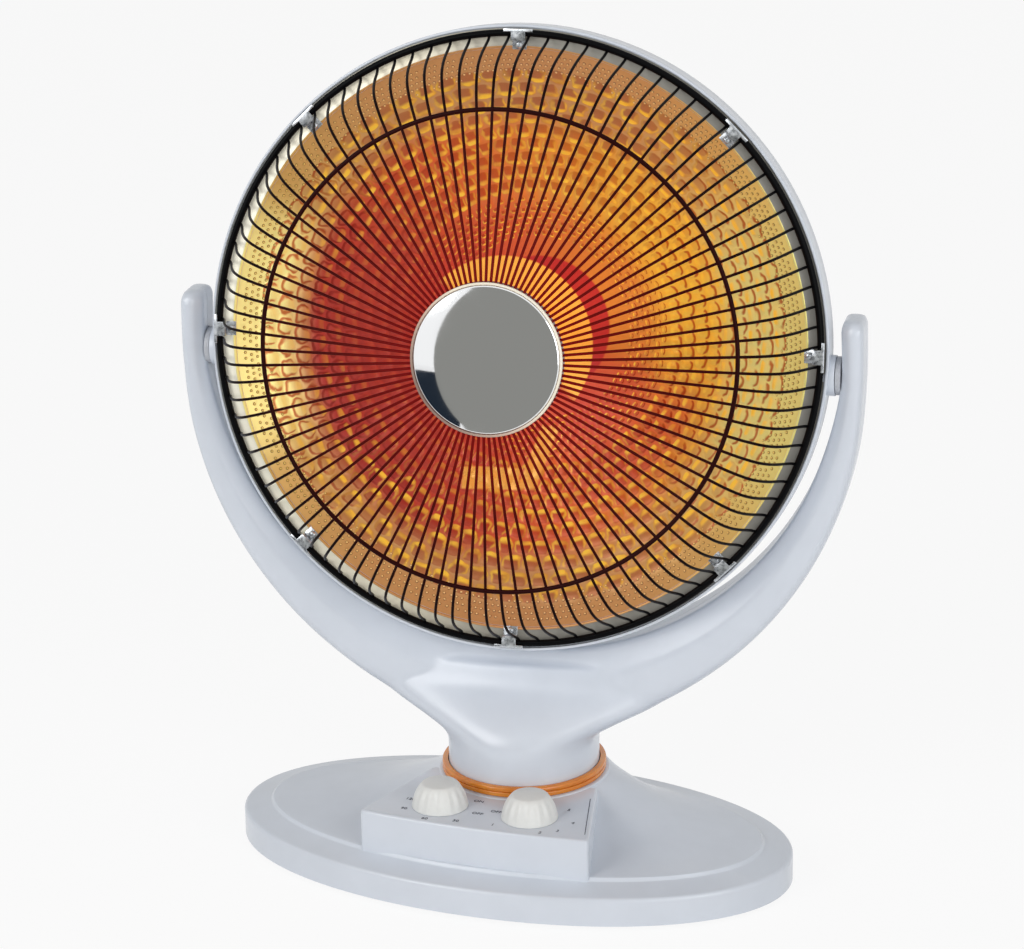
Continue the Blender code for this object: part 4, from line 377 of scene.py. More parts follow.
# with an arm of the same painted reflection, leading from its right end up to the cap
armX, armY = heatLook["armAt"]
armWide, armLong = heatLook["armHalf"]
armTurn = math.radians(heatLook["armTurn"])
armStart = armY * math.cos(armTurn) - armX * math.sin(armTurn)
offArm = addNode(tree, "ShaderNodeMath", "MULTIPLY_ADD", [upward, -math.cos(armTurn), armStart])
offArm = addNode(tree, "ShaderNodeMath", "MULTIPLY_ADD", [across, math.sin(armTurn), offArm])
offArm = addNode(tree, "ShaderNodeMath", "ABSOLUTE", [offArm])
besideArm = addNode(tree, "ShaderNodeMapRange", {}, [offArm, armWide, armWide - 0.0015])
alongArm = addNode(tree, "ShaderNodeMath", "SUBTRACT", [upward, armY])
alongArm = addNode(tree, "ShaderNodeMath", "ABSOLUTE", [alongArm])
onArm = addNode(tree, "ShaderNodeMapRange", {}, [alongArm, armLong, armLong - 0.0020])
armShare = addNode(tree, "ShaderNodeMath", "MULTIPLY", [besideArm, onArm])
patchShare = addNode(tree, "ShaderNodeMath", "MAXIMUM", [barShare, armShare])
patched = addNode(tree, "ShaderNodeMix", inColour,
                  {0: patchShare, 6: banded, 7: linearColour(heatLook["patch"])}).outputs[2]
lit = addNode(tree, "ShaderNodeMix", inColour,
              {0: discShare, 6: patched, 7: linearColour(heatLook["disc"])}).outputs[2]
lightUp(tree, shader, lit, heatLook["glow"])

# the raised dots of the same sheet: painted shade as a dark foot all round, and a painted highlight on the top, with
# a weak painted glow
dotLook = {"tops": [(0.0, "#f2c98c"), (0.6, "#ecc57c"), (0.85, "#dcbb62"), (1.0, "#e6cf78")],
           "feet": [(0.0, "#8a5634"), (0.6, "#8f6236"), (1.0, "#86692c")], "topFrom": 0.66, "topTo": 0.95}
goldDotsPaintedLight, tree, shader = newMaterial("gold_anodised_raised_dots_painted_light", "#c79d59", heatLook["roughness"],
                                     heatLook["metallic"])
_, across, _, _, away = dishCoordinates(tree)
sideways = addNode(tree, "ShaderNodeMath", "DIVIDE", [across, away])
sideShare = addNode(tree, "ShaderNodeMath", "ABSOLUTE", [sideways])
dotPaintedHighlight = addNode(tree, "ShaderNodeValToRGB", {"stops": dotLook["tops"]}, [sideShare])
dotPaintedShade = addNode(tree, "ShaderNodeValToRGB", {"stops": dotLook["feet"]}, [sideShare])
upBead = addNode(tree, "ShaderNodeAttribute", {"attribute_name": "bead"}).outputs["Fac"]
beadShare = addNode(tree, "ShaderNodeMapRange", smoothly, [upBead, dotLook["topFrom"], dotLook["topTo"]])
beadTone = addNode(tree, "ShaderNodeMix", inColour, {0: beadShare, 6: dotPaintedShade, 7: dotPaintedHighlight}).outputs[2]
lightUp(tree, shader, beadTone, heatLook["glow"])
print("stage: finishes made")


def meshFrom(name, points, faces):
    mesh = bpy.data.meshes.new(name)
    mesh.from_pydata(points, [], faces)
    mesh.update()
    return mesh


def turnedMesh(name, outline, segments):
    # spins (radius, height) pairs about local Z; an outline that is off the axis joins its ends
    points, faces, rows = [], [], []
    for radius, height in outline:
        if radius < 1e-7:
            rows.append([len(points)] * segments)
            points.append((0, 0, height))
        else:
            rows.append(list(range(len(points), len(points) + segments)))
            for step in range(segments):
                angle = math.tau * (step + 0.5) / segments
                points.append((radius * math.cos(angle), radius * math.sin(angle), height))
    onAxis = outline[0][0] < 1e-7
    pairs = list(zip(rows, rows[1:])) + ([] if onAxis else [(rows[-1], rows[0])])
    for low, high in pairs:
        for step in range(segments):
            after = (step + 1) % segments
            corners = (low[step], low[after], high[after], high[step])
            ring = [c for i, c in enumerate(corners) if c != corners[i - 1]]
            if len(ring) > 2:
                faces.append(ring)
    return outwardMesh(meshFrom(name, points, faces))


def outwardMesh(mesh, closed=True):
    # every face turned outwards
    form = bmesh.new()
    form.from_mesh(mesh)
    bmesh.ops.recalc_face_normals(form, faces=form.faces)
    if closed and form.calc_volume(signed=True) < 0:
        bmesh.ops.reverse_faces(form, faces=form.faces)
    form.to_mesh(mesh)
    form.free()
    return mesh


def loftedMesh(name, loops):
    # a skin over equal loops of points, closed at both ends
    size = len(loops[0])
    points = [point for loop in loops for point in loop]
    faces = []
    for row in range(len(loops) - 1):
        for i in range(size):
            j = (i + 1) % size
            faces.append((row * size + i, row * size + j, (row + 1) * size + j, (row + 1) * size + i))
    faces.append(tuple(reversed(range(size))))
    faces.append(tuple(range((len(loops) - 1) * size, len(loops) * size)))
    return outwardMesh(meshFrom(name, points, faces))


def smoothPath(points, steps):
    # a soft curve through all the points, ends kept
    made = []
    for i in range(len(points) - 1):
        before, a = points[max(i - 1, 0)], points[i]
        b, after = points[i + 1], points[min(i + 2, len(points) - 1)]
        for step in range(steps):
            t = step / steps
            made.append(tuple(0.5 * (2 * q + (r - p) * t + (2 * p - 5 * q + 4 * r - s) * t * t
                                     + (3 * q - p - 3 * r + s) * t ** 3)
                              for p, q, r, s in zip(before, a, b, after)))
    return made + [tuple(points[-1])]


def easedCorner(start, corner, end, steps=6):
    # points round a corner, from where it starts to bend to where it is straight again
    made = []
    for i in range(steps + 1):
        t = i / steps
        made.append(tuple((1 - t) ** 2 * a + 2 * t * (1 - t) * b + t * t * c
                          for a, b, c in zip(start, corner, end)))
    return made


def newPiece(name, mesh, material=None):
    piece = bpy.data.objects.new(name, mesh)
    bpy.context.scene.collection.objects.link(piece)
    if material:
        mesh.materials.clear()
        mesh.materials.append(material)
    return piece


def settled(piece):
    # the evaluated object as a plain mesh, with nothing live left on it
    bpy.context.view_layer.update()
    graph = bpy.context.evaluated_depsgraph_get()
    mesh = bpy.data.meshes.new_from_object(piece.evaluated_get(graph))
    piece.modifiers.clear()
    piece.data = mesh
    mesh.name = piece.name
    return piece


def grown(piece, tree, values):
    # runs a geometry tree on the piece with the sizes that the tree names, then settles it
    step = piece.modifiers.new(tree.name, "NODES")
    step.node_group = tree
    for item in tree.interface.items_tree:
        if item.item_type == "SOCKET" and item.in_out == "INPUT" and item.name in values:
            step[item.identifier] = values[item.name]
    return settled(piece)


def carved(piece, tools, operation="DIFFERENCE"):
    for tool in tools:
        step = piece.modifiers.new("carve", "BOOLEAN")
        step.operation = operation
        step.solver = "EXACT"
        step.object = tool
    settled(piece)
    for tool in tools:
        bpy.data.objects.remove(tool)
    return piece


def coated(piece, material):
    # one finish all over, whatever the carving brought in
    piece.data.materials.clear()
    piece.data.materials.append(material)
    piece.data.polygons.foreach_set("material_index", [0] * len(piece.data.polygons))
    return piece


def joined(name, pieces, material=None):
    # several loose pieces in one object
    form = bmesh.new()
    for piece in pieces:
        form.from_mesh(piece.data)
        bpy.data.objects.remove(piece)
    mesh = bpy.data.meshes.new(name)
    form.to_mesh(mesh)
    form.free()
    return newPiece(name, mesh, material)


def finished(piece, place, body, replaced=(), sharp=38):
    # into the row's frame, shaded, and onto its body
    piece.data.transform(place)
    piece.data.shade_smooth()
    piece.data.set_sharp_from_angle(angle=math.radians(sharp))
    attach(piece, body)
    if replaced:
        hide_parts(*replaced)
    return piece


def newTree(name, counts=(), sizes=(), finishes=()):
    # a geometry tree with a geometry input, the named numbers and finishes, and a geometry output
    tree = bpy.data.node_groups.new(name, "GeometryNodeTree")
    tree.interface.new_socket("Geometry", in_out="INPUT", socket_type="NodeSocketGeometry")
    for kind, keys in (("Int", counts), ("Float", sizes), ("Material", finishes)):
        for key in keys:
            tree.interface.new_socket(key, in_out="INPUT", socket_type="NodeSocket" + kind)
    tree.interface.new_socket("Geometry", in_out="OUTPUT", socket_type="NodeSocketGeometry")
    return tree, addNode(tree, "NodeGroupInput").outputs, addNode(tree, "NodeGroupOutput").inputs


# a tree that sets copies of what comes in round local Z
aroundAxis, wanted, result = newTree("set_round_axis", ["count"], [], ["finish"])
points = addNode(aroundAxis, "GeometryNodePoints", {}, {"Count": wanted["count"]})
index = addNode(aroundAxis, "GeometryNodeInputIndex")
share = addNode(aroundAxis, "ShaderNodeMath", "DIVIDE", [index, wanted["count"]])
angle = addNode(aroundAxis, "ShaderNodeMath", "MULTIPLY", [share, math.tau])
turn = addNode(aroundAxis, "ShaderNodeCombineXYZ", {}, {"Z": angle})
spun = addNode(aroundAxis, "FunctionNodeEulerToRotation", {}, [turn])
copies = addNode(aroundAxis, "GeometryNodeInstanceOnPoints", {},
                 {"Points": points, "Instance": wanted["Geometry"], "Rotation": spun})
real = addNode(aroundAxis, "GeometryNodeRealizeInstances", {}, [copies])
painted = addNode(aroundAxis, "GeometryNodeSetMaterial", {}, {"Geometry": real, "Material": wanted["finish"]})
aroundAxis.links.new(painted.outputs[0], result[0])


def dishHeight(radius):
    return dish["flange"] - dish["drop"] - dish["depth"] * (1 - (radius / dish["lip"]) ** 2)


def stepsBetween(start, end, count):
    return [start + (end - start) * i / count for i in range(count)]


# the plain sheet first, with rows of points where the domes will rise
lip, wall, flange, hole = dish["lip"], dish["wall"], dish["flange"], dish["hole"]
coarseEnd = dish["coarseStart"] - dish["coarsePitch"] * dish["coarseRows"]
fineEnd = dish["fineStart"] - dish["finePitch"] * dish["fineRows"]
frontRadii = stepsBetween(lip, dish["coarseStart"], 4)
frontRadii += stepsBetween(dish["coarseStart"], coarseEnd, 6 * dish["coarseRows"])
frontRadii += stepsBetween(dish["fineStart"], fineEnd, 4 * dish["fineRows"])
frontRadii += stepsBetween(fineEnd, dish["smoothStart"], 12) + stepsBetween(dish["smoothStart"], hole, 6) + [hole]
front = [(r, flange) for r in stepsBetween(dish["edge"], lip + 0.0016, 4)]
front += [(lip + 0.0014, flange), (lip + 0.0009, flange + 0.0004), (lip + 0.0003, flange + 0.0002)]
front += [(lip, flange - dish["drop"] / 2)] + [(r, dishHeight(r)) for r in frontRadii]
back = [(r, dishHeight(r) - wall) for r in reversed(stepsBetween(lip, hole, 8) + [hole])]
back += [(lip + wall, flange - wall), (dish["edge"], flange - wall)]
sheet = turnedMesh("pressed_reflector", front + back, dish["segments"])
facing = sheet.attributes.new("front", "FLOAT", "POINT")
frontCount = len(front) * dish["segments"]
facing.data.foreach_set("value", [1.0 if i < frontCount else 0.0 for i in range(len(sheet.vertices))])

# then the tree that raises domes and dots
zoneSizes = [zone + size for zone in ("coarse", "fine") for size in ("Start", "Pitch", "Height")]
tree, wanted, result = newTree(
    "raise_domes_and_dots", ["columns", "coarseRows", "fineRows", "dotRows", "dotColumns", "dotGroups"],
    zoneSizes + ["dotStart", "dotPitch", "dotRadius", "dotSink", "lip", "depth", "vertex"],
    ["dishFinish", "rimFinish", "dotFinish"])
place = addNode(tree, "GeometryNodeInputPosition")
split = addNode(tree, "ShaderNodeSeparateXYZ", {}, [place])
flat = addNode(tree, "ShaderNodeCombineXYZ", {}, [split.outputs[0], split.outputs[1]])
away = addNode(tree, "ShaderNodeVectorMath", "LENGTH", [flat]).outputs["Value"]
turns = addNode(tree, "ShaderNodeMath", "ARCTAN2", [split.outputs[1], split.outputs[0]])
turnShare = addNode(tree, "ShaderNodeMath", "MULTIPLY_ADD", [turns, 1 / math.tau, 10.0])
heightSum = 0.0
for zone in ("coarse", "fine"):
    inside = addNode(tree, "ShaderNodeMath", "SUBTRACT", [wanted[zone + "Start"], away])
    phase = addNode(tree, "ShaderNodeMath", "DIVIDE", [inside, wanted[zone + "Pitch"]])
    row = addNode(tree, "ShaderNodeMath", "FLOOR", [phase])
    inRow = addNode(tree, "ShaderNodeMath", "FRACT", [phase])
    odd = addNode(tree, "ShaderNodeMath", "FLOORED_MODULO", [row, 2.0])
    stagger = addNode(tree, "ShaderNodeMath", "MULTIPLY", [odd, 0.5])
    column = addNode(tree, "ShaderNodeMath", "MULTIPLY_ADD", [turnShare, wanted["columns"], stagger])
    inColumn = addNode(tree, "ShaderNodeMath", "FRACT", [column])
    # a dome's height falls off with the cube of the way from its middle, along and across
    cubes = []
    for part, half in ((inColumn, dish[zone + "Wide"]), (inRow, dish[zone + "Deep"])):
        fromMiddle = addNode(tree, "ShaderNodeMath", "SUBTRACT", [part, 0.5])
        share = addNode(tree, "ShaderNodeMath", "DIVIDE", [fromMiddle, half])
        share = addNode(tree, "ShaderNodeMath", "ABSOLUTE", [share])
        cubes.append(addNode(tree, "ShaderNodeMath", "POWER", [share, 3.0]))
    bothCubes = addNode(tree, "ShaderNodeMath", "ADD", cubes)
    dome = addNode(tree, "ShaderNodeMath", "SUBTRACT", [1.0, bothCubes])
    dome = addNode(tree, "ShaderNodeMath", "MAXIMUM", [dome, 0.0])
    begun = addNode(tree, "ShaderNodeMath", "GREATER_THAN", [phase, 0.0])
    going = addNode(tree, "ShaderNodeMath", "LESS_THAN", [phase, wanted[zone + "Rows"]])
    inZone = addNode(tree, "ShaderNodeMath", "MULTIPLY", [begun, going])
    dome = addNode(tree, "ShaderNodeMath", "MULTIPLY", [dome, inZone])
    raisedBy = addNode(tree, "ShaderNodeMath", "MULTIPLY", [dome, wanted[zone + "Height"]])
    heightSum = addNode(tree, "ShaderNodeMath", "ADD", [heightSum, raisedBy])
frontOnly = addNode(tree, "GeometryNodeInputNamedAttribute", {"data_type": "FLOAT"}, {"Name": "front"})
lift = addNode(tree, "ShaderNodeMath", "MULTIPLY", [heightSum, frontOnly.outputs["Attribute"]])
normal = addNode(tree, "GeometryNodeInputNormal")
offset = addNode(tree, "ShaderNodeVectorMath", "SCALE", {0: normal, 3: lift})
raised = addNode(tree, "GeometryNodeSetPosition", {}, {"Geometry": wanted["Geometry"], "Offset": offset})
# dots stand in groups, a few columns by a few staggered rows
perGroup = addNode(tree, "ShaderNodeMath", "MULTIPLY", [wanted["dotColumns"], wanted["dotRows"]])
allDots = addNode(tree, "ShaderNodeMath", "MULTIPLY", [perGroup, wanted["dotGroups"]])
points = addNode(tree, "GeometryNodePoints", {}, {"Count": allDots})
index = addNode(tree, "GeometryNodeInputIndex")
group = addNode(tree, "ShaderNodeMath", "ADD", [index, 0.5])
group = addNode(tree, "ShaderNodeMath", "DIVIDE", [group, perGroup])
group = addNode(tree, "ShaderNodeMath", "FLOOR", [group])
before = addNode(tree, "ShaderNodeMath", "MULTIPLY", [group, perGroup])
inGroup = addNode(tree, "ShaderNodeMath", "SUBTRACT", [index, before])
dotRow = addNode(tree, "ShaderNodeMath", "ADD", [inGroup, 0.5])
dotRow = addNode(tree, "ShaderNodeMath", "DIVIDE", [dotRow, wanted["dotColumns"]])
dotRow = addNode(tree, "ShaderNodeMath", "FLOOR", [dotRow])
before = addNode(tree, "ShaderNodeMath", "MULTIPLY", [dotRow, wanted["dotColumns"]])
dotColumn = addNode(tree, "ShaderNodeMath", "SUBTRACT", [inGroup, before])
inBy = addNode(tree, "ShaderNodeMath", "MULTIPLY", [dotRow, wanted["dotPitch"]])
dotAway = addNode(tree, "ShaderNodeMath", "SUBTRACT", [wanted["dotStart"], inBy])
odd = addNode(tree, "ShaderNodeMath", "FLOORED_MODULO", [dotRow, 2.0])
nudge = addNode(tree, "ShaderNodeMath", "MULTIPLY", [dotColumn, dish["dotApart"]])
nudge = addNode(tree, "ShaderNodeMath", "MULTIPLY_ADD", [odd, dish["dotStagger"], nudge])
dotTurn = addNode(tree, "ShaderNodeMath", "ADD", [group, nudge])
dotTurn = addNode(tree, "ShaderNodeMath", "DIVIDE", [dotTurn, wanted["dotGroups"]])
dotAngle = addNode(tree, "ShaderNodeMath", "MULTIPLY", [dotTurn, math.tau])
outShare = addNode(tree, "ShaderNodeMath", "DIVIDE", [dotAway, wanted["lip"]])
outShare = addNode(tree, "ShaderNodeMath", "POWER", [outShare, 2.0])
dotRise = addNode(tree, "ShaderNodeMath", "MULTIPLY_ADD", [outShare, wanted["depth"], wanted["vertex"]])
# each dot leans with the sheet, and sits partly sunk in it
slopeHere = addNode(tree, "ShaderNodeMath", "MULTIPLY", [dotAway, wanted["depth"]])
slopeHere = addNode(tree, "ShaderNodeMath", "MULTIPLY", [slopeHere, 2.0])
lipSquare = addNode(tree, "ShaderNodeMath", "POWER", [wanted["lip"], 2.0])
slopeHere = addNode(tree, "ShaderNodeMath", "DIVIDE", [slopeHere, lipSquare])
tiltHere = addNode(tree, "ShaderNodeMath", "ARCTANGENT", [slopeHere])
leanSine = addNode(tree, "ShaderNodeMath", "SINE", [tiltHere])
leanCosine = addNode(tree, "ShaderNodeMath", "COSINE", [tiltHere])
dotOut = addNode(tree, "ShaderNodeMath", "MULTIPLY_ADD", [leanSine, wanted["dotSink"], dotAway])
sunk = addNode(tree, "ShaderNodeMath", "MULTIPLY", [leanCosine, wanted["dotSink"]])
dotHeight = addNode(tree, "ShaderNodeMath", "SUBTRACT", [dotRise, sunk])
turnCosine = addNode(tree, "ShaderNodeMath", "COSINE", [dotAngle])
turnSine = addNode(tree, "ShaderNodeMath", "SINE", [dotAngle])
dotX = addNode(tree, "ShaderNodeMath", "MULTIPLY", [dotOut, turnCosine])
dotY = addNode(tree, "ShaderNodeMath", "MULTIPLY", [dotOut, turnSine])
dotPlace = addNode(tree, "ShaderNodeCombineXYZ", {}, [dotX, dotY, dotHeight])
placed = addNode(tree, "GeometryNodeSetPosition", {}, {"Geometry": points, "Position": dotPlace})
bead = addNode(tree, "GeometryNodeMeshUVSphere", {},
               {"Segments": dish["dotSides"], "Rings": dish["dotRings"], "Radius": wanted["dotRadius"]})
beadPoint = addNode(tree, "GeometryNodeInputPosition")
beadAt = addNode(tree, "ShaderNodeSeparateXYZ", {}, [beadPoint])
upBead = addNode(tree, "ShaderNodeMath", "DIVIDE", [beadAt.outputs[2], wanted["dotRadius"]])
beadTop = addNode(tree, "GeometryNodeStoreNamedAttribute", {"data_type": "FLOAT", "domain": "POINT"},
                  {"Geometry": bead, "Name": "bead", "Value": upBead})
lean = addNode(tree, "ShaderNodeMath", "MULTIPLY", [tiltHere, -1.0])
beadTurn = addNode(tree, "ShaderNodeCombineXYZ", {}, {1: lean, 2: dotAngle})
beadTurn = addNode(tree, "FunctionNodeEulerToRotation", {}, [beadTurn])
dots = addNode(tree, "GeometryNodeInstanceOnPoints", {},
               {"Points": placed, "Instance": beadTop, "Rotation": beadTurn})
dotted = addNode(tree, "GeometryNodeSetMaterial", {}, {"Geometry": dots, "Material": wanted["dotFinish"]})
rimStart = addNode(tree, "ShaderNodeMath", "ADD", [wanted["lip"], dish["rimFrom"]])
onRim = addNode(tree, "ShaderNodeMath", "GREATER_THAN", [away, rimStart])
gilded = addNode(tree, "GeometryNodeSetMaterial", {}, {"Geometry": raised, "Material": wanted["dishFinish"]})
rimmed = addNode(tree, "GeometryNodeSetMaterial", {},
                 {"Geometry": gilded, "Selection": onRim, "Material": wanted["rimFinish"]})
together = addNode(tree, "GeometryNodeJoinGeometry")
tree.links.new(dotted.outputs[0], together.inputs[0])
tree.links.new(rimmed.outputs[0], together.inputs[0])
real = addNode(tree, "GeometryNodeRealizeInstances", {}, [together])
tree.links.new(real.outputs[0], result[0])

reflector = grown(newPiece("pressed_reflector", sheet), tree,
                  {**dish, "vertex": dishHeight(0), "dishFinish": goldAnodisedPaintedGlow, "rimFinish": brightAluminium,
                   "dotFinish": goldDotsPaintedLight})
finished(reflector, dishPlace, "head", ["reflector"], 50)
print("stage: reflector,", len(reflector.data.polygons), "faces")

# the guard is one bent wire set round the axis, with its middle and outer rings
guard = {"wires": 96, "wireRadius": 0.0009, "ringRadius": 0.1880, "ringWire": 0.0021,
         "middleRadius": 0.1455, "middleWire": 0.0014, "middleAhead": 0.0476,
         "bends": [(0.1862, 0.0004), (0.1842, 0.0040), (0.1820, 0.0100), (0.1782, 0.0210), (0.1735, 0.0310),
                   (0.1675, 0.0385), (0.1580, 0.0440), (0.1455, 0.0476), (0.0940, 0.0601), (0.0420, 0.0726)]}
wirePath = smoothPath(guard["bends"], 3)
wire = bpy.data.meshes.new("guard_wire")
wire.from_pydata([(r, 0, z) for r, z in wirePath], [(i, i + 1) for i in range(len(wirePath) - 1)], [])

ofRadius = {"mode": "RADIUS"}
tree, wanted, result = newTree("wire_guard", ["wires"], ["wireRadius", "ringRadius", "ringWire", "middleRadius",
                                                        "middleWire", "middleAhead"], ["enamel"])
line = addNode(tree, "GeometryNodeMeshToCurve", {}, [wanted["Geometry"]])
thin = addNode(tree, "GeometryNodeCurvePrimitiveCircle", ofRadius, {"Resolution": 7, "Radius": wanted["wireRadius"]})
rod = addNode(tree, "GeometryNodeCurveToMesh", {}, {"Curve": line, "Profile Curve": thin, "Fill Caps": True})
points = addNode(tree, "GeometryNodePoints", {}, {"Count": wanted["wires"]})
index = addNode(tree, "GeometryNodeInputIndex")
share = addNode(tree, "ShaderNodeMath", "ADD", [index, 0.5])
share = addNode(tree, "ShaderNodeMath", "DIVIDE", [share, wanted["wires"]])
angle = addNode(tree, "ShaderNodeMath", "MULTIPLY", [share, math.tau])
turn = addNode(tree, "ShaderNodeCombineXYZ", {}, {2: angle})
spun = addNode(tree, "FunctionNodeEulerToRotation", {}, [turn])
spokes = addNode(tree, "GeometryNodeInstanceOnPoints", {}, {"Points": points, "Instance": rod, "Rotation": spun})
together = addNode(tree, "GeometryNodeJoinGeometry")
tree.links.new(spokes.outputs[0], together.inputs[0])
for reach, size, ahead, sides in (("ringRadius", "ringWire", None, 16),
                                  ("middleRadius", "middleWire", "middleAhead", 10)):
    hoop = addNode(tree, "GeometryNodeCurvePrimitiveCircle", ofRadius, {"Resolution": 192, "Radius": wanted[reach]})
    section = addNode(tree, "GeometryNodeCurvePrimitiveCircle", ofRadius,
                      {"Resolution": sides, "Radius": wanted[size]})
    ring = addNode(tree, "GeometryNodeCurveToMesh", {}, {"Curve": hoop, "Profile Curve": section})
    shift = addNode(tree, "ShaderNodeCombineXYZ", {}, {2: wanted[ahead] if ahead else 0.0})
    moved = addNode(tree, "GeometryNodeTransform", {}, {"Geometry": ring, "Translation": shift})
    tree.links.new(moved.outputs[0], together.inputs[0])
real = addNode(tree, "GeometryNodeRealizeInstances", {}, [together])
painted = addNode(tree, "GeometryNodeSetMaterial", {}, {"Geometry": real, "Material": wanted["enamel"]})
tree.links.new(painted.outputs[0], result[0])
wireGuard = grown(newPiece("wire_guard", wire), tree, {**guard, "enamel": glossEnamel})
outwardMesh(wireGuard.data, False)
finished(wireGuard, dishPlace, "head", ["guard_grille"], 60)
print("stage: guard,", len(wireGuard.data.polygons), "faces")

# in the middle of the guard, the domed cap with its cream ring, on its ivory back plate
cap = {"radius": 0.0444, "foot": 0.0741, "edge": 0.0016, "dome": 0.0030, "rim": 0.0009, "rings": 22,
       "plateRadius": 0.0436, "plateTop": 0.0697, "plate": 0.0014, "stud": 0.0030, "studLength": 0.0090,
       "trimInner": 0.0447, "trimOuter": 0.0462, "trimHeight": 0.0016, "segments": 128}
radius, foot, domeRadius = cap["radius"], cap["foot"], cap["radius"] - cap["rim"]
rimPath = smoothPath([(radius - 0.0006, foot), (radius, foot + 0.0006), (radius - 0.0002, foot + 0.0011),
                      (domeRadius, foot + cap["edge"])], 4)
domeShares = [1 - i / cap["rings"] for i in range(1, cap["rings"])]
domePath = [(domeRadius * s, foot + cap["edge"] + cap["dome"] * (1 - s * s)) for s in domeShares]
trimOut, trimTop = cap["trimOuter"], foot + cap["trimHeight"]
trimPath = [(cap["trimInner"], foot)]
trimPath += easedCorner((trimOut - 0.0004, foot), (trimOut, foot), (trimOut, foot + 0.0005), 3)
trimPath += easedCorner((trimOut, foot + 0.0008), (trimOut, trimTop), (trimOut - 0.0007, trimTop), 4)
trimPath += [(cap["trimInner"], trimTop - 0.0002)]
capTrim = newPiece("cap_trim_ring", turnedMesh("cap_trim_ring", trimPath, cap["segments"]), creamNylon)
finished(capTrim, dishPlace, "head", (), 50)
stud, studFoot = cap["stud"], foot - cap["studLength"]
capOutline = [(0, studFoot), (stud, studFoot), (stud, foot)] + rimPath + domePath
capOutline += [(0, foot + cap["edge"] + cap["dome"])]
domedCap = newPiece("domed_cap", turnedMesh("domed_cap", capOutline, cap["segments"]), buffedChrome)
finished(domedCap, dishPlace, "head", ["centre_cap"], 18)
plateRadius, plateTop = cap["plateRadius"], cap["plateTop"]
plateOutline = smoothPath([(stud + 0.0003, plateTop - cap["plate"]), (plateRadius - 0.001, plateTop - cap["plate"]),
                           (plateRadius, plateTop - 0.0004), (plateRadius - 0.0004, plateTop),
                           (stud + 0.0003, plateTop)], 3)
backPlate = newPiece("cap_plate", turnedMesh("cap_plate", plateOutline, 96), satinPolypropylene)
finished(backPlate, dishPlace, "head", ["cap_back_plate"])
print("stage: cap")

# a clip is a bent strap hooked over the ring, held by a cross head screw, and eight stand round
clip = {"count": 8, "sheet": 0.0008, "half": 0.0044, "barHalf": 0.0090, "foot": -0.002425, "top": 0.002725,
        "start": 0.1778, "riser": 0.1842, "barStart": 0.1887, "barEnd": 0.1905, "soften": 0.00025,
        "screwAt": 0.1808, "shank": 0.0014, "shankLength": 0.003, "head": 0.0023, "headHeight": 0.0017,
        "headGap": 0.0003, "slotLong": 0.0015, "slotShort": 0.0003}
t, foot, top, riser = clip["sheet"], clip["foot"], clip["top"], clip["riser"]
half, barHalf, barStart, barEnd = clip["half"], clip["barHalf"], clip["barStart"], clip["barEnd"]
strapPath = [(clip["start"], foot), (riser, foot), (riser, top), (barEnd, top), (barEnd, top + t),
             (riser - t, top + t), (riser - t, foot + t), (clip["start"], foot + t)]
strapLoops = [[(r, y, z) for r, z in strapPath] for y in (-half, half)]
strap = newPiece("clip_strap", loftedMesh("clip_strap", strapLoops))
barLoops = [[(barStart, -barHalf, z), (barEnd, -barHalf, z), (barEnd, barHalf, z), (barStart, barHalf, z)]
            for z in (top, top + t)]
carved(strap, [newPiece("clip_bar", loftedMesh("clip_bar", barLoops))], "UNION")
soften = strap.modifiers.new("soften", "BEVEL")
soften.width, soften.segments, soften.limit_method = clip["soften"], 2, "ANGLE"
settled(strap)
headFoot, head, shank = foot + t + clip["headGap"], clip["head"], clip["shank"]
headTop = headFoot + clip["headHeight"]
headPath = [(0, headFoot - clip["shankLength"]), (shank, headFoot - clip["shankLength"]), (shank, headFoot)]
headPath += smoothPath([(head, headFoot), (head * 0.97, headFoot + 0.0007), (head * 0.7, headFoot + 0.0014),
                        (0.0004, headTop)], 3) + [(0, headTop)]
screw = newPiece("clip_screw", turnedMesh("clip_screw", headPath, 20))
slots = []
for x, y in ((clip["slotLong"], clip["slotShort"]), (clip["slotShort"], clip["slotLong"])):
    slotLoops = [[(-x, -y, z), (x, -y, z), (x, y, z), (-x, y, z)] for z in (headFoot + 0.0007, headFoot + 0.004)]
    slots.append(newPiece("slot", loftedMesh("slot", slotLoops)))
carved(screw, slots)
screw.data.transform(Matrix.Translation((clip["screwAt"], 0, 0)))
clips = joined("guard_clips", [strap, screw])
grown(clips, aroundAxis, {"count": clip["count"], "finish": zincPlate})
clipNodes = [f"guard_clip_{i + 1}" for i in range(8)] + [f"clip_screw_{i + 1}" for i in range(8)]
finished(clips, dishPlace, "head", clipNodes)
print("stage: clips")


def offsetPath(path, distance):
    # the same path moved to its own left
    moved = []
    for i, (x, y) in enumerate(path):
        a, b = path[max(i - 1, 0)], path[min(i + 1, len(path) - 1)]
        dx, dy = b[0] - a[0], b[1] - a[1]
        length = math.hypot(dx, dy)
        moved.append((x - dy / length * distance, y + dx / length * distance))
    return moved


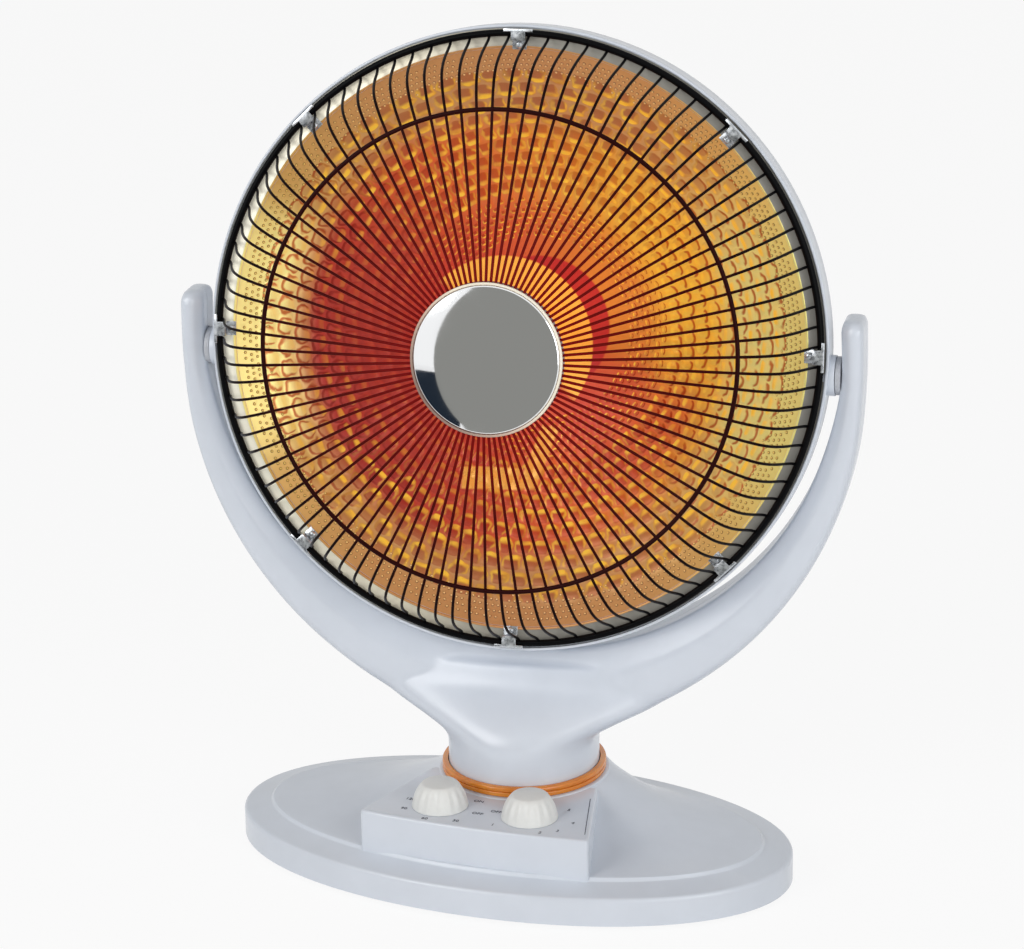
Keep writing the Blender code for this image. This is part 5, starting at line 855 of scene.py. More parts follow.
# the rear housing is a moulded bowl with a rounded rim, a ledge for the reflector and vents round the back
shell = {"radius": 0.1930, "wall": 0.0022, "depth": 0.0990, "backRadius": 0.0600, "band": 0.0200,
         "front": -0.0005, "seatRadius": 0.1913, "seat": -0.004025, "ledge": 0.1786, "ledgeBack": -0.008025,
         "shares": [(0.56, 0.945), (0.76, 0.77), (0.90, 0.48), (0.975, 0.17)], "segments": 160,
         "vents": 10, "ventStart": 0.0660, "ventEnd": 0.1030, "ventHalf": 0.0030,
         "bossRadius": 0.0125, "bossRoot": 0.1879, "bossFace": 0.1960, "bossEdge": 0.0006}
rim, back, edge, seat = shell["radius"], -shell["depth"], shell["front"], shell["seatRadius"]
deepness = shell["depth"] - shell["band"]
bowl = [(shell["backRadius"], back)]
bowl += [(rim * out, -shell["band"] - deepness * deep) for out, deep in shell["shares"]]
bowl = smoothPath(bowl + [(rim, -shell["band"])], 6)
outline = [(0, back)] + bowl + easedCorner((rim, edge - 0.0008), (rim, edge), (rim - 0.0007, edge), 4)
outline += easedCorner((seat + 0.0004, edge), (seat, edge), (seat, edge - 0.0005), 3)
outline += [(seat, shell["seat"]), (shell["ledge"], shell["seat"]), (shell["ledge"], shell["ledgeBack"]),
            (rim - shell["wall"], shell["ledgeBack"])]
outline += list(reversed(offsetPath(bowl, shell["wall"]))) + [(0, back + shell["wall"])]
housing = newPiece("rear_shell", turnedMesh("rear_shell", outline, shell["segments"]), glossyAbs)
face, root, radius, ease = (shell["boss" + key] for key in ("Face", "Root", "Radius", "Edge"))
bosses = []
for side in (-1, 1):
    bossPath = easedCorner((radius, face - ease), (radius, face), (radius - ease, face), 3)
    bossMesh = turnedMesh("boss", [(0, root), (radius, root)] + bossPath + [(0, face)], 48)
    bossMesh.transform(Matrix.Translation((0, -stance["dishAbove"], -stance["dishAhead"]))
                       @ Matrix.Rotation(side * math.pi / 2, 4, "Y"))
    bosses.append(newPiece("boss", bossMesh))
carved(housing, bosses, "UNION")
half = shell["ventHalf"]
slotLine = []
for step in range(20):
    angle = math.tau * (step + 0.5) / 20
    middle = shell["ventEnd"] - half if math.cos(angle) > 0 else shell["ventStart"] + half
    slotLine.append((middle + half * math.cos(angle), half * math.sin(angle)))
ventLoops = [[(x, y, z) for x, y in slotLine] for z in (back - 0.004, back + 0.014)]
vents = newPiece("vents", loftedMesh("vents", ventLoops))
grown(vents, aroundAxis, {"count": shell["vents"], "finish": glossyAbs})
carved(housing, [vents])
finished(coated(housing, glossyAbs), dishPlace, "head", ["rear_housing"])
print("stage: housing,", len(housing.data.polygons), "faces")

# the yoke is one grown form of crescent, arms and neck, then cut at the mould's seam into two shells
yoke = {"centre": 0.3150, "innerTop": 0.1995, "innerFoot": 0.1800, "innerPower": 0.7, "outerTop": 0.2135,
        "outerFoot": 0.2425, "outerPower": 2.0, "depthTop": 0.0150, "depthFoot": 0.0210, "top": 0.3570,
        "tipRound": 0.0075, "stations": 8, "neckRadius": 0.0480, "neckFoot": 0.0536, "neckSides": 96,
        "straightTop": 0.0760, "shoulderTop": 0.1260, "flare": 0.0580, "shallower": 0.0270, "wall": 0.0026,
        "voxel": 0.0015, "seam": 0.0003, "easeBelow": 0.148, "easeOver": 0.02, "easeWithin": 0.150,
        "easeAside": 0.03, "easeAll": 4, "easeNeck": 16,
        "shoulder": [(0, 0, 0), (0.14, 0.09, 0.04), (0.28, 0.31, 0.16), (0.44, 0.60, 0.38), (0.60, 0.82, 0.62),
                     (0.76, 0.95, 0.84), (1, 0.93, 1)]}
armShares = easedCorner((1, -0.5), (1, -1), (0.45, -1)) + easedCorner((-0.12, -1), (-0.2, -1), (-0.27, -0.967), 3)
armShares += easedCorner((-0.94, -0.649), (-1, -0.62), (-1, -0.55), 3)
armShares += easedCorner((-1, 0.7), (-1, 1), (-0.7, 1), 4) + easedCorner((0.55, 1), (1, 1), (1, 0.5))
seamY, depthTop = stance["tiltAhead"], yoke["depthTop"]


def armLoop(x, z, turn, half, depth):
    # the arm's section, set across the crescent's line
    return [(x + half * out * math.cos(turn), seamY + depth * behind, z - half * out * math.sin(turn))
            for out, behind in armShares]


stations = []
for step in range(yoke["stations"] + 1):
    share = 1 - step / yoke["stations"]
    inner = yoke["innerTop"] + (yoke["innerFoot"] - yoke["innerTop"]) * share ** yoke["innerPower"]
    outer = yoke["outerTop"] + (yoke["outerFoot"] - yoke["outerTop"]) * share ** yoke["outerPower"]
    turn = share * math.pi / 2
    middle = (inner + outer) / 2
    stations.append((middle * math.cos(turn), yoke["centre"] - middle * math.sin(turn), turn,
                     (outer - inner) / 2, depthTop + (yoke["depthFoot"] - depthTop) * share))
shoulderZ = yoke["top"] - yoke["tipRound"]
armX, armHalf = stations[-1][0], stations[-1][3]
stations.append((armX, shoulderZ, 0, armHalf, depthTop))
rightLoops = [armLoop(*station) for station in smoothPath(stations, 8)]
for step in range(1, 8):
    bend = math.pi / 2 * step / 7
    shrink = 0.5 + 0.5 * math.cos(bend)
    tipZ = shoulderZ + yoke["tipRound"] * math.sin(bend)
    rightLoops.append(armLoop(armX, tipZ, 0, armHalf * shrink, depthTop * shrink))
leftLoops = [[(-x, y, z) for x, y, z in loop] for loop in reversed(rightLoops[1:])]
crescent = newPiece("crescent", loftedMesh("crescent", leftLoops + rightLoops))
neckRings = [(yoke["neckRadius"], yoke["neckRadius"], 0, yoke["neckFoot"] - 0.006)]
rise = yoke["shoulderTop"] - yoke["straightTop"]
for height, flare, shallow in smoothPath(yoke["shoulder"], 6):
    neckRings.append((yoke["neckRadius"] + yoke["flare"] * flare,
                      yoke["neckRadius"] - yoke["shallower"] * shallow,
                      seamY * shallow, yoke["straightTop"] + rise * height))
neckTurns = [math.tau * i / yoke["neckSides"] for i in range(yoke["neckSides"])]
neckLoops = [[(wide * math.cos(a), y0 + deep * math.sin(a), z) for a in neckTurns]
             for wide, deep, y0, z in neckRings]
neck = newPiece("neck", loftedMesh("neck", neckLoops))
wholeYoke = joined("yoke_form", [crescent, neck])
melt = wholeYoke.modifiers.new("melt", "REMESH")
melt.mode, melt.voxel_size, melt.use_smooth_shade = "VOXEL", yoke["voxel"], True
settled(wholeYoke)
# smoothed a little all over, and more where the neck flares into the crescent
nearNeck = wholeYoke.vertex_groups.new(name="near_neck")
for vertex in wholeYoke.data.vertices:
    below = min(max((yoke["easeBelow"] - vertex.co.z) / yoke["easeOver"], 0.0), 1.0)
    within = min(max((yoke["easeWithin"] - abs(vertex.co.x)) / yoke["easeAside"], 0.0), 1.0)
    if below * within > 0:
        nearNeck.add([vertex.index], below * within, "REPLACE")
for amount, group in ((yoke["easeAll"], ""), (yoke["easeNeck"], "near_neck")):
    ease = wholeYoke.modifiers.new("ease", "SMOOTH")
    ease.factor, ease.iterations, ease.vertex_group = 0.5, amount, group
settled(wholeYoke)
for name, side, node in (("yoke_front", -1, "yoke_front_shell"), ("yoke_rear", 1, "yoke_rear_shell")):
    form = bmesh.new()
    form.from_mesh(wholeYoke.data)
    footCut = ((0, 0, yoke["neckFoot"]), (0, 0, -1))
    seamCut = ((0, seamY + side * yoke["seam"] / 2, 0), (0, -side, 0))
    for point, direction in (footCut, seamCut):
        bmesh.ops.bisect_plane(form, geom=form.verts[:] + form.edges[:] + form.faces[:], plane_co=point,
                               plane_no=direction, clear_outer=True)
    mesh = bpy.data.meshes.new(name)
    form.to_mesh(mesh)
    form.free()
    halfShell = newPiece(name, mesh, glossyAbs)
    thicken = halfShell.modifiers.new("wall", "SOLIDIFY")
    thicken.thickness, thicken.offset = yoke["wall"], -1
    settled(halfShell)
    finished(coated(halfShell, glossyAbs), neckPlace, "yoke", [node], 60)
    print("stage:", name, len(halfShell.data.polygons), "faces")
bpy.data.objects.remove(wholeYoke)

# friction washers of nylon between the housing's bosses and the arms
washer = {"bore": 0.0043, "radius": 0.0118, "low": 0.1963, "high": 0.1995, "edge": 0.0004}
bore, radius, low, high, ease = (washer[key] for key in ("bore", "radius", "low", "high", "edge"))
washers = []
for side in (-1, 1):
    washerPath = [(bore, low)] + easedCorner((radius - ease, low), (radius, low), (radius, low + ease), 3)
    washerPath += easedCorner((radius, high - ease), (radius, high), (radius - ease, high), 3) + [(bore, high)]
    washerMesh = turnedMesh("washer", washerPath, 48)
    washerMesh.transform(Matrix.Translation((0, seamY, stance["tiltHeight"]))
                         @ Matrix.Rotation(side * math.pi / 2, 4, "Y"))
    washers.append(newPiece("washer", washerMesh))
finished(joined("friction_washers", washers, greyNylon), neckPlace, "yoke",
         ["friction_washer_left", "friction_washer_right"])
print("stage: washers")

# the base cover: oval skirt, stepped ledge, hollow slope up to the boss, and the control box in front
base = {"halfLength": 0.181, "halfDepth": 0.0986, "power": 2.05, "ahead": 0.0216, "segments": 160,
        "wall": 0.0025, "bottom": 0.0025, "top": 0.0208, "round": 0.0032, "ledgeInset": 0.0191,
        "stepRun": 0.0014, "ledgeFoot": 0.0240, "ledgeTop": 0.0262, "bossRadius": 0.0545, "bossTop": 0.0520,
        "bossRound": 0.0012, "bore": 0.0143, "glandHeight": 0.0112, "glandHole": 0.0048,
        "slope": [(0, 0), (0.25, 0.06), (0.58, 0.25), (0.86, 0.65), (1, 1)]}
box = {"front": 0.0950, "bulge": 0.0045, "halfFront": 0.0750, "back": 0.0200, "halfBack": 0.0560,
       "top": 0.0514, "bottom": 0.0215, "edge": 0.0022, "corner": 0.0026, "shaftX": 0.0295,
       "shaftAhead": 0.0730, "shaftHole": 0.0043}


def ovalLoop(inset, z):
    loop = []
    for step in range(base["segments"]):
        angle = math.tau * step / base["segments"]
        x = math.copysign(abs(math.cos(angle)) ** (2 / base["power"]), math.cos(angle))
        y = math.copysign(abs(math.sin(angle)) ** (2 / base["power"]), math.sin(angle))
        loop.append(((base["halfLength"] - inset) * x, -base["ahead"] + (base["halfDepth"] - inset) * y, z))
    return loop


def roundLoop(radius, z):
    turns = [math.tau * step / base["segments"] for step in range(base["segments"])]
    return [(radius * math.cos(angle), radius * math.sin(angle), z) for angle in turns]


def slopeLoops(low, high, steps):
    # from the low loop to the high one, with the hollow rise of the base's slope
    made = []
    for share, up in smoothPath(base["slope"], steps)[1:]:
        made.append([(a[0] + (b[0] - a[0]) * share, a[1] + (b[1] - a[1]) * share, a[2] + (b[2] - a[2]) * up)
                     for a, b in zip(low, high)])
    return made


wall, top, inset, round_ = base["wall"], base["top"], base["ledgeInset"], base["round"]
footInset, ledgeFoot, ledgeTop = inset - base["stepRun"], base["ledgeFoot"], base["ledgeTop"]
skirt = [(0, base["bottom"])] + easedCorner((0, top - round_), (0, top), (round_, top), 6)
skirt += easedCorner((footInset - 0.0010, ledgeFoot - 0.0002), (footInset, ledgeFoot),
                     (footInset + 0.0003, ledgeFoot + 0.0005), 3)
skirt += easedCorner((inset - 0.0003, ledgeTop - 0.0006), (inset, ledgeTop), (inset + 0.0006, ledgeTop), 3)
bossEdge, bossHigh, bossRound = base["bossRadius"], base["bossTop"], base["bossRound"]
coverLoops = [ovalLoop(i, z) for i, z in skirt]
coverLoops += slopeLoops(coverLoops[-1], roundLoop(bossEdge, bossHigh - bossRound), 5)
bossCorner = easedCorner((bossEdge, bossHigh - bossRound), (bossEdge, bossHigh), (bossEdge - bossRound, bossHigh), 3)
coverLoops += [roundLoop(r, z) for r, z in bossCorner[1:]]
cover = newPiece("base_shell", loftedMesh("base_shell", coverLoops), glossyAbs)
ledgeIn = ovalLoop(inset + wall, ledgeTop - wall)
hollowLoops = [ovalLoop(wall, base["bottom"] - 0.004), ovalLoop(wall, top - wall - round_),
               ovalLoop(wall + round_, top - wall), ledgeIn]
hollowLoops += slopeLoops(ledgeIn, roundLoop(bossEdge - wall, bossHigh - wall), 3)
hollow = newPiece("hollow", loftedMesh("hollow", hollowLoops))


def boxLoop(inset, back, z):
    # the control box from above: a bulging front, eased front corners, and sides that close in to the back
    frontHalf, backHalf, bend = box["halfFront"] - inset, box["halfBack"] - inset, box["corner"]
    forward = -box["front"] + inset
    sideways, along = backHalf - frontHalf, back - forward
    length = math.hypot(sideways, along)
    share = 1 - bend / frontHalf
    spots = [share * (2 * i / 24 - 1) for i in range(25)]
    inFront = [(frontHalf * s, forward - box["bulge"] * (1 - s * s)) for s in spots]
    pastCorner = (frontHalf + sideways * bend / length, forward + along * bend / length)
    rightEase = easedCorner(inFront[-1], (frontHalf, forward), pastCorner, 4)[1:]
    leftEase = [(-x, y) for x, y in reversed(rightEase)]
    return [(x, y, z) for x, y in leftEase + inFront + rightEase + [(backHalf, back), (-backHalf, back)]]


boxTop, boxEdge = box["top"], box["edge"]
boxLevels = [(0, box["bottom"])] + easedCorner((0, boxTop - boxEdge), (0, boxTop), (boxEdge, boxTop), 5)
boxForm = newPiece("box", loftedMesh("box", [boxLoop(i, -box["back"], z) for i, z in boxLevels]))
hollowBox = [boxLoop(wall, -box["back"] + 0.004, z) for z in (0, boxTop - wall)]
boxHollow = newPiece("box_hollow", loftedMesh("box_hollow", hollowBox))
carved(cover, [boxForm], "UNION")


def boredPiece(name, radius, low, high, sides, place=Matrix()):
    # a plain cylinder to carve a hole with
    mesh = turnedMesh(name, [(0, low), (radius, low), (radius, high), (0, high)], sides)
    mesh.transform(place)
    return newPiece(name, mesh)


holes = [boxHollow, hollow, boredPiece("bore", base["bore"], 0.0262, 0.056, 64)]
for side in (-1, 1):
    shaftPlace = Matrix.Translation((side * box["shaftX"], -box["shaftAhead"], 0))
    holes.append(boredPiece("shaft_hole", box["shaftHole"], 0.0449, 0.0554, 32, shaftPlace))
glandAt = Matrix.Translation((0, base["halfDepth"] - base["ahead"], base["glandHeight"]))
holes.append(boredPiece("gland_hole", base["glandHole"], -0.004, 0.0065, 32,
                        glandAt @ Matrix.Rotation(math.pi / 2, 4, "X")))
carved(cover, holes)
finished(coated(cover, glossyAbs), heaterPlace, "base", ["base_cover"], 34)
print("stage: base cover,", len(cover.data.polygons), "faces")

# the trim ring round the neck's foot, with a groove half way up
trim = {"inside": 0.0486, "width": 0.0036, "low": 0.0523, "height": 0.0062, "groove": 0.0010, "segments": 128}
trimIn, trimOut, low = trim["inside"], trim["inside"] + trim["width"], trim["low"]
trimTop, trimGroove = low + trim["height"], trimOut - trim["groove"]
trimOutline = [(trimIn, low)] + easedCorner((trimOut - 0.0006, low), (trimOut, low), (trimOut, low + 0.0008), 3)
trimOutline += easedCorner((trimOut, low + 0.0024), (trimOut, low + 0.0028), (trimGroove, low + 0.0030), 3)
trimOutline += easedCorner((trimGroove, low + 0.0032), (trimOut, low + 0.0034), (trimOut, low + 0.0038), 3)
trimOutline += easedCorner((trimOut, trimTop - 0.0014), (trimOut, trimTop), (trimOut - 0.0012, trimTop), 4)
trimOutline += [(trimIn, trimTop)]
trimMesh = turnedMesh("orange_trim_ring", trimOutline, trim["segments"])
trimRing = newPiece("orange_trim_ring", trimMesh, orangePolycarbonate)
finished(trimRing, heaterPlace, "base", ["trim_ring"], 50)

# knobs: a skirt that narrows upwards with soft flutes, and a smooth flat top
knob = {"radius": 0.0176, "height": 0.0152, "topRadius": 0.0112, "flutes": 15, "fluteDepth": 0.0007,
        "edge": 0.0010, "socket": 0.0033, "socketDepth": 0.0110, "clear": 0.0003, "segments": 120}
radius, slope = knob["radius"], knob["radius"] - knob["topRadius"]
knobRings = smoothPath([(radius - 0.0003, 0, 0.1), (radius, 0.05, 0.3), (radius - slope * 0.30, 0.52, 1.0),
                        (radius - slope * 0.72, 0.84, 0.5), (knob["topRadius"], 0.965, 0.05),
                        (knob["topRadius"] - knob["edge"], 1.0, 0)], 5)
for name, side in (("timer_knob", -1), ("mode_knob", 1)):
    knobLoops = []
    for radius, up, flute in knobRings:
        loop = []
        for step in range(knob["segments"]):
            angle = math.tau * step / knob["segments"]
            wave = 0.5 - 0.5 * math.cos(knob["flutes"] * angle)
            reach = radius - knob["fluteDepth"] * max(flute, 0) * wave
            loop.append((reach * math.cos(angle), reach * math.sin(angle), knob["height"] * min(up, 1)))
        knobLoops.append(loop)
    turnedKnob = newPiece(f"fluted_{name}", loftedMesh(name, knobLoops), satinPolypropylene)
    carved(turnedKnob, [boredPiece("socket", knob["socket"], -0.004, knob["socketDepth"], 32)])
    knobPlace = heaterPlace @ Matrix.Translation((side * box["shaftX"], -box["shaftAhead"], boxTop + knob["clear"]))
    finished(coated(turnedKnob, satinPolypropylene), knobPlace, name, [name], 40)
print("stage: trim ring and knobs")

# feet with a ridged sole, and the cord gland at the back
foot = {"radius": 0.0080, "edge": 0.0006, "top": 0.0025, "x": 0.1300, "y": 0.0520,
        "ridges": [(0, 0.0004), (0.0024, 0.0004), (0.0028, 0), (0.0036, 0), (0.0040, 0.0004), (0.0052, 0.0004),
                   (0.0056, 0)]}
radius, ease = foot["radius"], foot["edge"]
solePath = foot["ridges"] + easedCorner((radius - ease, 0), (radius, 0), (radius, ease), 4)
solePath += [(radius, foot["top"]), (0, foot["top"])]
soles = []
for x in (-foot["x"], foot["x"]):
    for y in (-foot["y"], foot["y"]):
        sole = newPiece("sole", turnedMesh("sole", solePath, 40))
        sole.data.transform(Matrix.Translation((x, y - base["ahead"], 0)))
        soles.append(sole)
footNodes = ["foot_left_front", "foot_left_rear", "foot_right_front", "foot_right_rear"]
finished(joined("rubber_feet", soles, mattRubber), heaterPlace, "base", footNodes)
glandPath = [(0.0030, -0.0075), (0.0045, -0.0075), (0.0045, 0.0003), (0.0062, 0.0003)]
glandPath += easedCorner((0.0065, 0.0006), (0.0065, 0.0022), (0.0058, 0.0022), 3) + [(0.0048, 0.0024)]
glandPath += easedCorner((0.0045, 0.0030), (0.0044, 0.0044), (0.0036, 0.0044), 3) + [(0.0030, 0.0042)]
gland = newPiece("rubber_cord_gland", turnedMesh("rubber_cord_gland", glandPath, 48), darkPhenolic)
glandPlace = heaterPlace @ glandAt @ Matrix.Rotation(-math.pi / 2, 4, "X")
finished(gland, glandPlace, "base", ["cord_gland"])
print("stage: feet and gland")

# the element: a fine wire wound into a coil, and the coil wound in turn round the ceramic cone
element = {"foot": 0.0090, "top": 0.0130, "low": -0.0577, "high": 0.0640, "rimReach": 0.0062, "rim": 0.0030,
           "round": 0.0008, "start": -0.0500, "end": 0.0560, "turns": 10, "tube": 0.0020, "clear": 0.0003,
           "wire": 0.00042, "pitch": 0.0016, "stepsPerTurn": 9}
low, high, thick, ease = element["low"], element["high"], element["rim"], element["round"]
footRim, topRim = element["foot"] + element["rimReach"], element["top"] + element["rimReach"]
conePath = [(0, low)] + easedCorner((footRim - ease, low), (footRim, low), (footRim, low + ease), 3)
conePath += easedCorner((footRim, low + thick - ease), (footRim, low + thick), (footRim - ease, low + thick), 3)
conePath += [(element["foot"], low + thick), (element["top"], high - thick)]
conePath += easedCorner((topRim - ease, high - thick), (topRim, high - thick), (topRim, high - thick + ease), 3)
conePath += easedCorner((topRim, high - ease), (topRim, high), (topRim - ease, high), 3) + [(0, high)]
cone = newPiece("ceramic_bobbin", turnedMesh("ceramic_bobbin", conePath, 64), hotSteatite)
finished(cone, dishPlace, "head", ["element_bobbin"])


def coilPoint(share):
    # where the coil's own middle line runs round the cone
    z = element["start"] + (element["end"] - element["start"]) * share
    coneShare = (z - low - thick) / (high - low - 2 * thick)
    radius = element["foot"] + (element["top"] - element["foot"]) * coneShare + element["tube"] + element["clear"]
    angle = math.tau * element["turns"] * share
    return Vector((radius * math.cos(angle), radius * math.sin(angle), z))


coilLength = sum((coilPoint((i + 1) / 400) - coilPoint(i / 400)).length for i in range(400))
windings = int(coilLength / element["pitch"])
wound = []
for i in range(windings * element["stepsPerTurn"] + 1):
    share = i / (windings * element["stepsPerTurn"])
    at = coilPoint(share)
    along = (coilPoint(share + 0.0005) - coilPoint(share - 0.0005)).normalized()
    outward = Vector((at.x, at.y, 0)).normalized()
    across = along.cross(outward).normalized()
    bend = math.tau * i / element["stepsPerTurn"]
    aside = outward * math.cos(bend) + across * math.sin(bend)
    wound.append(at + aside * (element["tube"] - element["wire"]))
strand = bpy.data.meshes.new("wound_wire")
strand.from_pydata(wound, [(i, i + 1) for i in range(len(wound) - 1)], [])
tree, wanted, result = newTree("drawn_wire", [], ["wire"], ["finish"])
line = addNode(tree, "GeometryNodeMeshToCurve", {}, [wanted["Geometry"]])
thin = addNode(tree, "GeometryNodeCurvePrimitiveCircle", ofRadius, {"Resolution": 5, "Radius": wanted["wire"]})
drawn = addNode(tree, "GeometryNodeCurveToMesh", {}, {"Curve": line, "Profile Curve": thin, "Fill Caps": True})
real = addNode(tree, "GeometryNodeRealizeInstances", {}, [drawn])
painted = addNode(tree, "GeometryNodeSetMaterial", {}, {"Geometry": real, "Material": wanted["finish"]})
tree.links.new(painted.outputs[0], result[0])
coil = grown(newPiece("wound_element", strand), tree, {"wire": element["wire"], "finish": hotNichrome})
outwardMesh(coil.data, False)
finished(coil, dishPlace, "head", ["element_coil"], 80)
print("stage: element,", len(coil.data.polygons), "faces")

# generic numbers and one line, printed on the control box round the knobs
marks = {"height": 0.0001, "clear": 0.00005, "size": 0.0042, "lineHalf": 0.0002, "lineFrom": (0.0700, -0.0868),
         "lineTo": (0.0565, -0.0361),
         "words": [("120", -0.0505, -0.0700), ("90", -0.0492, -0.0843), ("60", -0.0316, -0.0945),
                   ("30", -0.0121, -0.0920), ("OFF", -0.0030, -0.0780), ("ON", -0.0084, -0.0607),
                   ("OFF", 0.0072, -0.0720), ("1", 0.0116, -0.0905), ("2", 0.0431, -0.0925),
                   ("3", 0.0525, -0.0870), ("4", 0.0578, -0.0734), ("5", 0.0493, -0.0560)]}
printed = []
for words, x, y in marks["words"]:
    letter = bpy.data.curves.new("letters", "FONT")
    letter.body, letter.size, letter.extrude = words, marks["size"], marks["height"] / 2
    letter.align_x, letter.align_y, letter.resolution_u = "CENTER", "CENTER", 3
    typed = bpy.data.objects.new("letters", letter)
    bpy.context.scene.collection.objects.link(typed)
    bpy.context.view_layer.update()
    mesh = bpy.data.meshes.new_from_object(typed.evaluated_get(bpy.context.evaluated_depsgraph_get()))
    bpy.data.objects.remove(typed)
    mesh.transform(Matrix.Translation((x, y, boxTop + marks["clear"] + marks["height"] / 2)))
    mesh.materials.clear()
    printed.append(newPiece("letters", mesh))
lineStart, lineEnd = Vector(marks["lineFrom"]), Vector(marks["lineTo"])
sideStep = (lineEnd - lineStart).normalized().yx * marks["lineHalf"]
sideStep.x = -sideStep.x
lineLoop = [lineStart - sideStep, lineEnd - sideStep, lineEnd + sideStep, lineStart + sideStep]
lineFoot = boxTop + marks["clear"]
lineLoops = [[(p.x, p.y, z) for p in lineLoop] for z in (lineFoot, lineFoot + marks["height"])]
printed.append(newPiece("line", loftedMesh("line", lineLoops)))
finished(joined("printed_marks", printed, padInk), heaterPlace, "base")
print("stage: printed marks")

# solids whose shape is right keep it, and take the real finishes
keptFinishes = [
    (rolledSteel, ["base_plate", "swivel_tube", "swivel_ring_nut", "swing_lever", "swing_motor",
                   "socket_bracket", "pivot_pin_left", "pivot_pin_right"]),
    (zincPlate, ["yoke_screw_front", "yoke_screw_rear", "cap_nut"]),
    (darkPhenolic, ["timer_switch", "mode_switch", "tip_over_switch", "thermal_cutout"]),
    (greyNylon, ["bearing_washer", "tip_over_plunger", "crank_disc"]),
    (hotSteatite, ["element_socket"]),
]
for finish, names in keptFinishes:
    for name in names:
        for holder in nodes[name].material_slots:
            holder.material = finish
print("stage: kept solids finished")

# a pale floor that keeps the shadow, under a soft white studio that is darker overhead
studio = {"floorSize": 6.0, "floor": "#f4f4f4", "floorPlain": 0.9, "skyLow": 0.66, "skyHigh": 0.20}
floorMaterial = bpy.data.materials.new("pale_matt_studio_floor")
floorMaterial.use_nodes = True
tree = floorMaterial.node_tree
tree.nodes.clear()
path = addNode(tree, "ShaderNodeLightPath").outputs
matt = addNode(tree, "ShaderNodeBsdfDiffuse", {}, {"Color": linearColour(studio["floor"])})
plain = addNode(tree, "ShaderNodeEmission", {}, {"Color": (1, 1, 1, 1), "Strength": 1.0})
seen = addNode(tree, "ShaderNodeMath", "MAXIMUM", [path["Is Camera Ray"], path["Is Glossy Ray"]])
amount = addNode(tree, "ShaderNodeMath", "MULTIPLY", [seen, studio["floorPlain"]])
both = addNode(tree, "ShaderNodeMixShader", {}, [amount, matt, plain])
addNode(tree, "ShaderNodeOutputMaterial", {}, {"Surface": both})
reach = studio["floorSize"]
floorMesh = meshFrom("studio_floor", [(x, y, cadLow.z) for x, y in ((-reach, -reach), (reach, -reach),
                                                                   (reach, reach), (-reach, reach))], [(0, 1, 2, 3)])
newPiece("studio_floor", floorMesh, floorMaterial)

world = bpy.data.worlds.new("soft_white_studio")
bpy.context.scene.world = world
world.use_nodes = True
tree = world.node_tree
tree.nodes.clear()
path = addNode(tree, "ShaderNodeLightPath").outputs
seen = addNode(tree, "ShaderNodeMath", "MAXIMUM", [path["Is Camera Ray"], path["Is Glossy Ray"]])
seen = addNode(tree, "ShaderNodeMath", "MAXIMUM", [seen, path["Is Transmission Ray"]])
skyPoint = addNode(tree, "ShaderNodeTexCoord")
up = addNode(tree, "ShaderNodeSeparateXYZ", {}, [skyPoint.outputs["Generated"]])
level = addNode(tree, "ShaderNodeMapRange", {}, [up.outputs["Z"], 0.0, 1.0, studio["skyLow"], studio["skyHigh"]])
strength = addNode(tree, "ShaderNodeMix", {"data_type": "FLOAT"}, {0: seen, 2: level, 3: 1.0})
sky = addNode(tree, "ShaderNodeBackground", {}, {"Color": (1, 1, 1, 1), "Strength": strength})
addNode(tree, "ShaderNodeOutputWorld", {}, {"Surface": sky})

# grey and dark cards in front, which only a mirror sees: they give the cap its grey face and its crescents
cards = {"greyAt": (0.057, -0.80, 0.333), "greyRadius": 0.318, "grey": "#8f8f8b", "segments": 64,
         "darkLeft": -1.3, "darkRight": -0.17, "darkTop": 0.276, "darkAhead": -0.83, "dark": "#232b36"}


def studioCard(name, points, colour):
    card = newPiece(name, meshFrom(name, points, [tuple(range(len(points)))]))
    sheen = bpy.data.materials.new(name)
    sheen.use_nodes = True
    sheen.node_tree.nodes.clear()
    even = addNode(sheen.node_tree, "ShaderNodeEmission", {}, {"Color": linearColour(colour), "Strength": 1.0})
    addNode(sheen.node_tree, "ShaderNodeOutputMaterial", {}, {"Surface": even})
    card.data.materials.append(sheen)
    card.visible_camera = card.visible_diffuse = card.visible_transmission = False
    card.visible_shadow = card.visible_volume_scatter = False


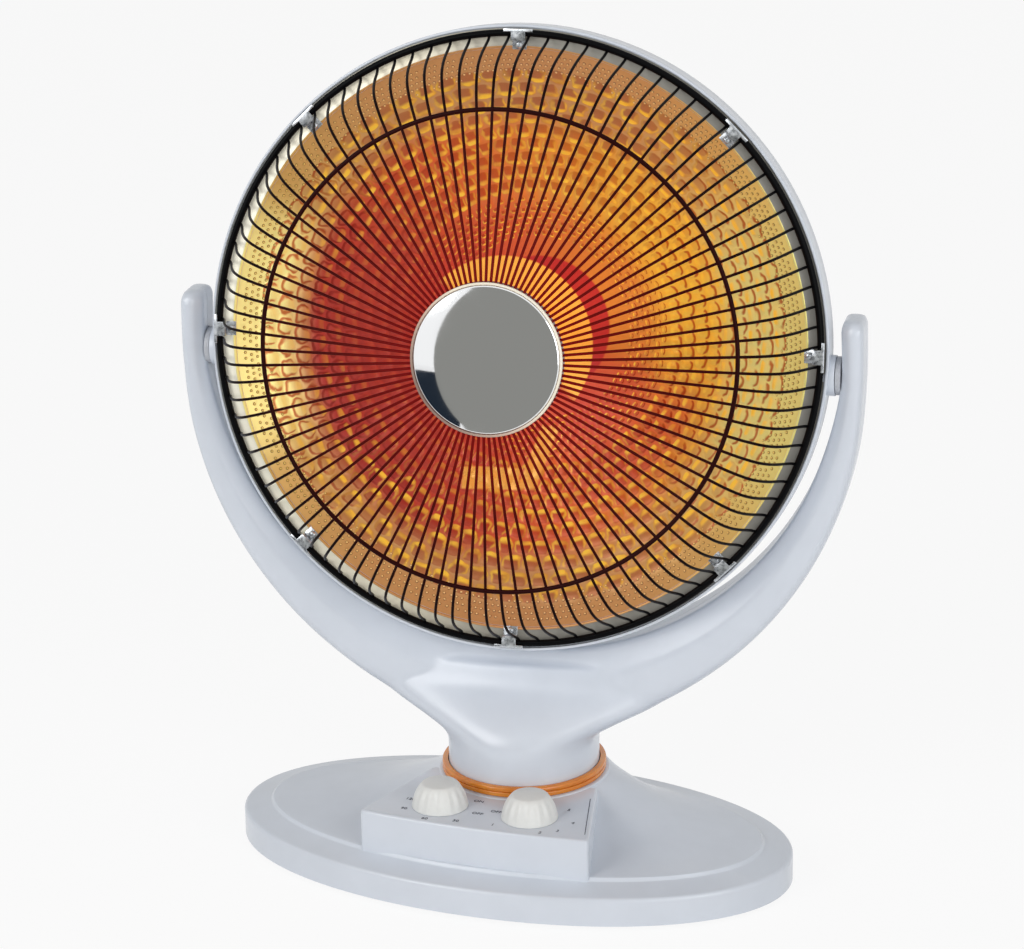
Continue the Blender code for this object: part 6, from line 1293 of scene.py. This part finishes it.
greyX, greyY, greyZ = cards["greyAt"]
greyTurns = [math.tau * i / cards["segments"] for i in range(cards["segments"])]
greyPoints = [(greyX + cards["greyRadius"] * math.cos(a), greyY, greyZ + cards["greyRadius"] * math.sin(a))
              for a in greyTurns]
studioCard("grey_card", greyPoints, cards["grey"])
left, right, darkTop, darkAhead = cards["darkLeft"], cards["darkRight"], cards["darkTop"], cards["darkAhead"]
darkPoints = [(x, darkAhead, z) for x, z in ((left, cadLow.z), (right, cadLow.z), (right, darkTop), (left, darkTop))]
studioCard("dark_card", darkPoints, cards["dark"])

lamps = {"key": {"at": (-0.9, -1.7, 1.15), "size": 1.2, "watts": 15},
         "fill": {"at": (1.6, -1.2, 0.8), "size": 1.4, "watts": 13}}
for name, lamp in lamps.items():
    light = bpy.data.lights.new(name, "AREA")
    light.shape, light.size, light.energy = "DISK", lamp["size"], lamp["watts"]
    holder = bpy.data.objects.new(name, light)
    holder.location = lamp["at"]
    holder.rotation_euler = (Vector((0, 0, 0.25)) - Vector(lamp["at"])).to_track_quat("-Z", "Y").to_euler()
    bpy.context.scene.collection.objects.link(holder)

# the camera stands where the photograph was taken from
view = {"azimuth": 20.12, "elevation": 18.01, "roll": -1.03, "distance": 2.10873, "focal": 3418.12,
        "across": 518.4, "down": 424.62, "target": (0, 0.0216, 0.2772), "frame": (1024, 949)}
az, el, roll = (math.radians(view[key]) for key in ("azimuth", "elevation", "roll"))
right = Vector((math.cos(az), math.sin(az), 0))
backward = Vector((math.sin(az) * math.cos(el), -math.cos(az) * math.cos(el), math.sin(el)))
upward = backward.cross(right)
rolledRight = right * math.cos(roll) + upward * math.sin(roll)
rolledUp = upward * math.cos(roll) - right * math.sin(roll)
turned = Matrix((rolledRight, rolledUp, backward)).transposed().to_4x4()
lens = bpy.data.cameras.new("photograph_view")
wide, tall = view["frame"]
lens.sensor_fit, lens.sensor_width, lens.lens = "HORIZONTAL", 36, view["focal"] / wide * 36
lens.shift_x, lens.shift_y = (wide / 2 - view["across"]) / wide, (view["down"] - tall / 2) / wide
camera = bpy.data.objects.new("photograph_view", lens)
camera.matrix_world = Matrix.Translation(Vector(view["target"]) + backward * view["distance"]) @ turned
bpy.context.scene.collection.objects.link(camera)
bpy.context.scene.camera = camera
bpy.context.scene.view_settings.view_transform = "Standard"

print("stage: camera, lamps and floor")
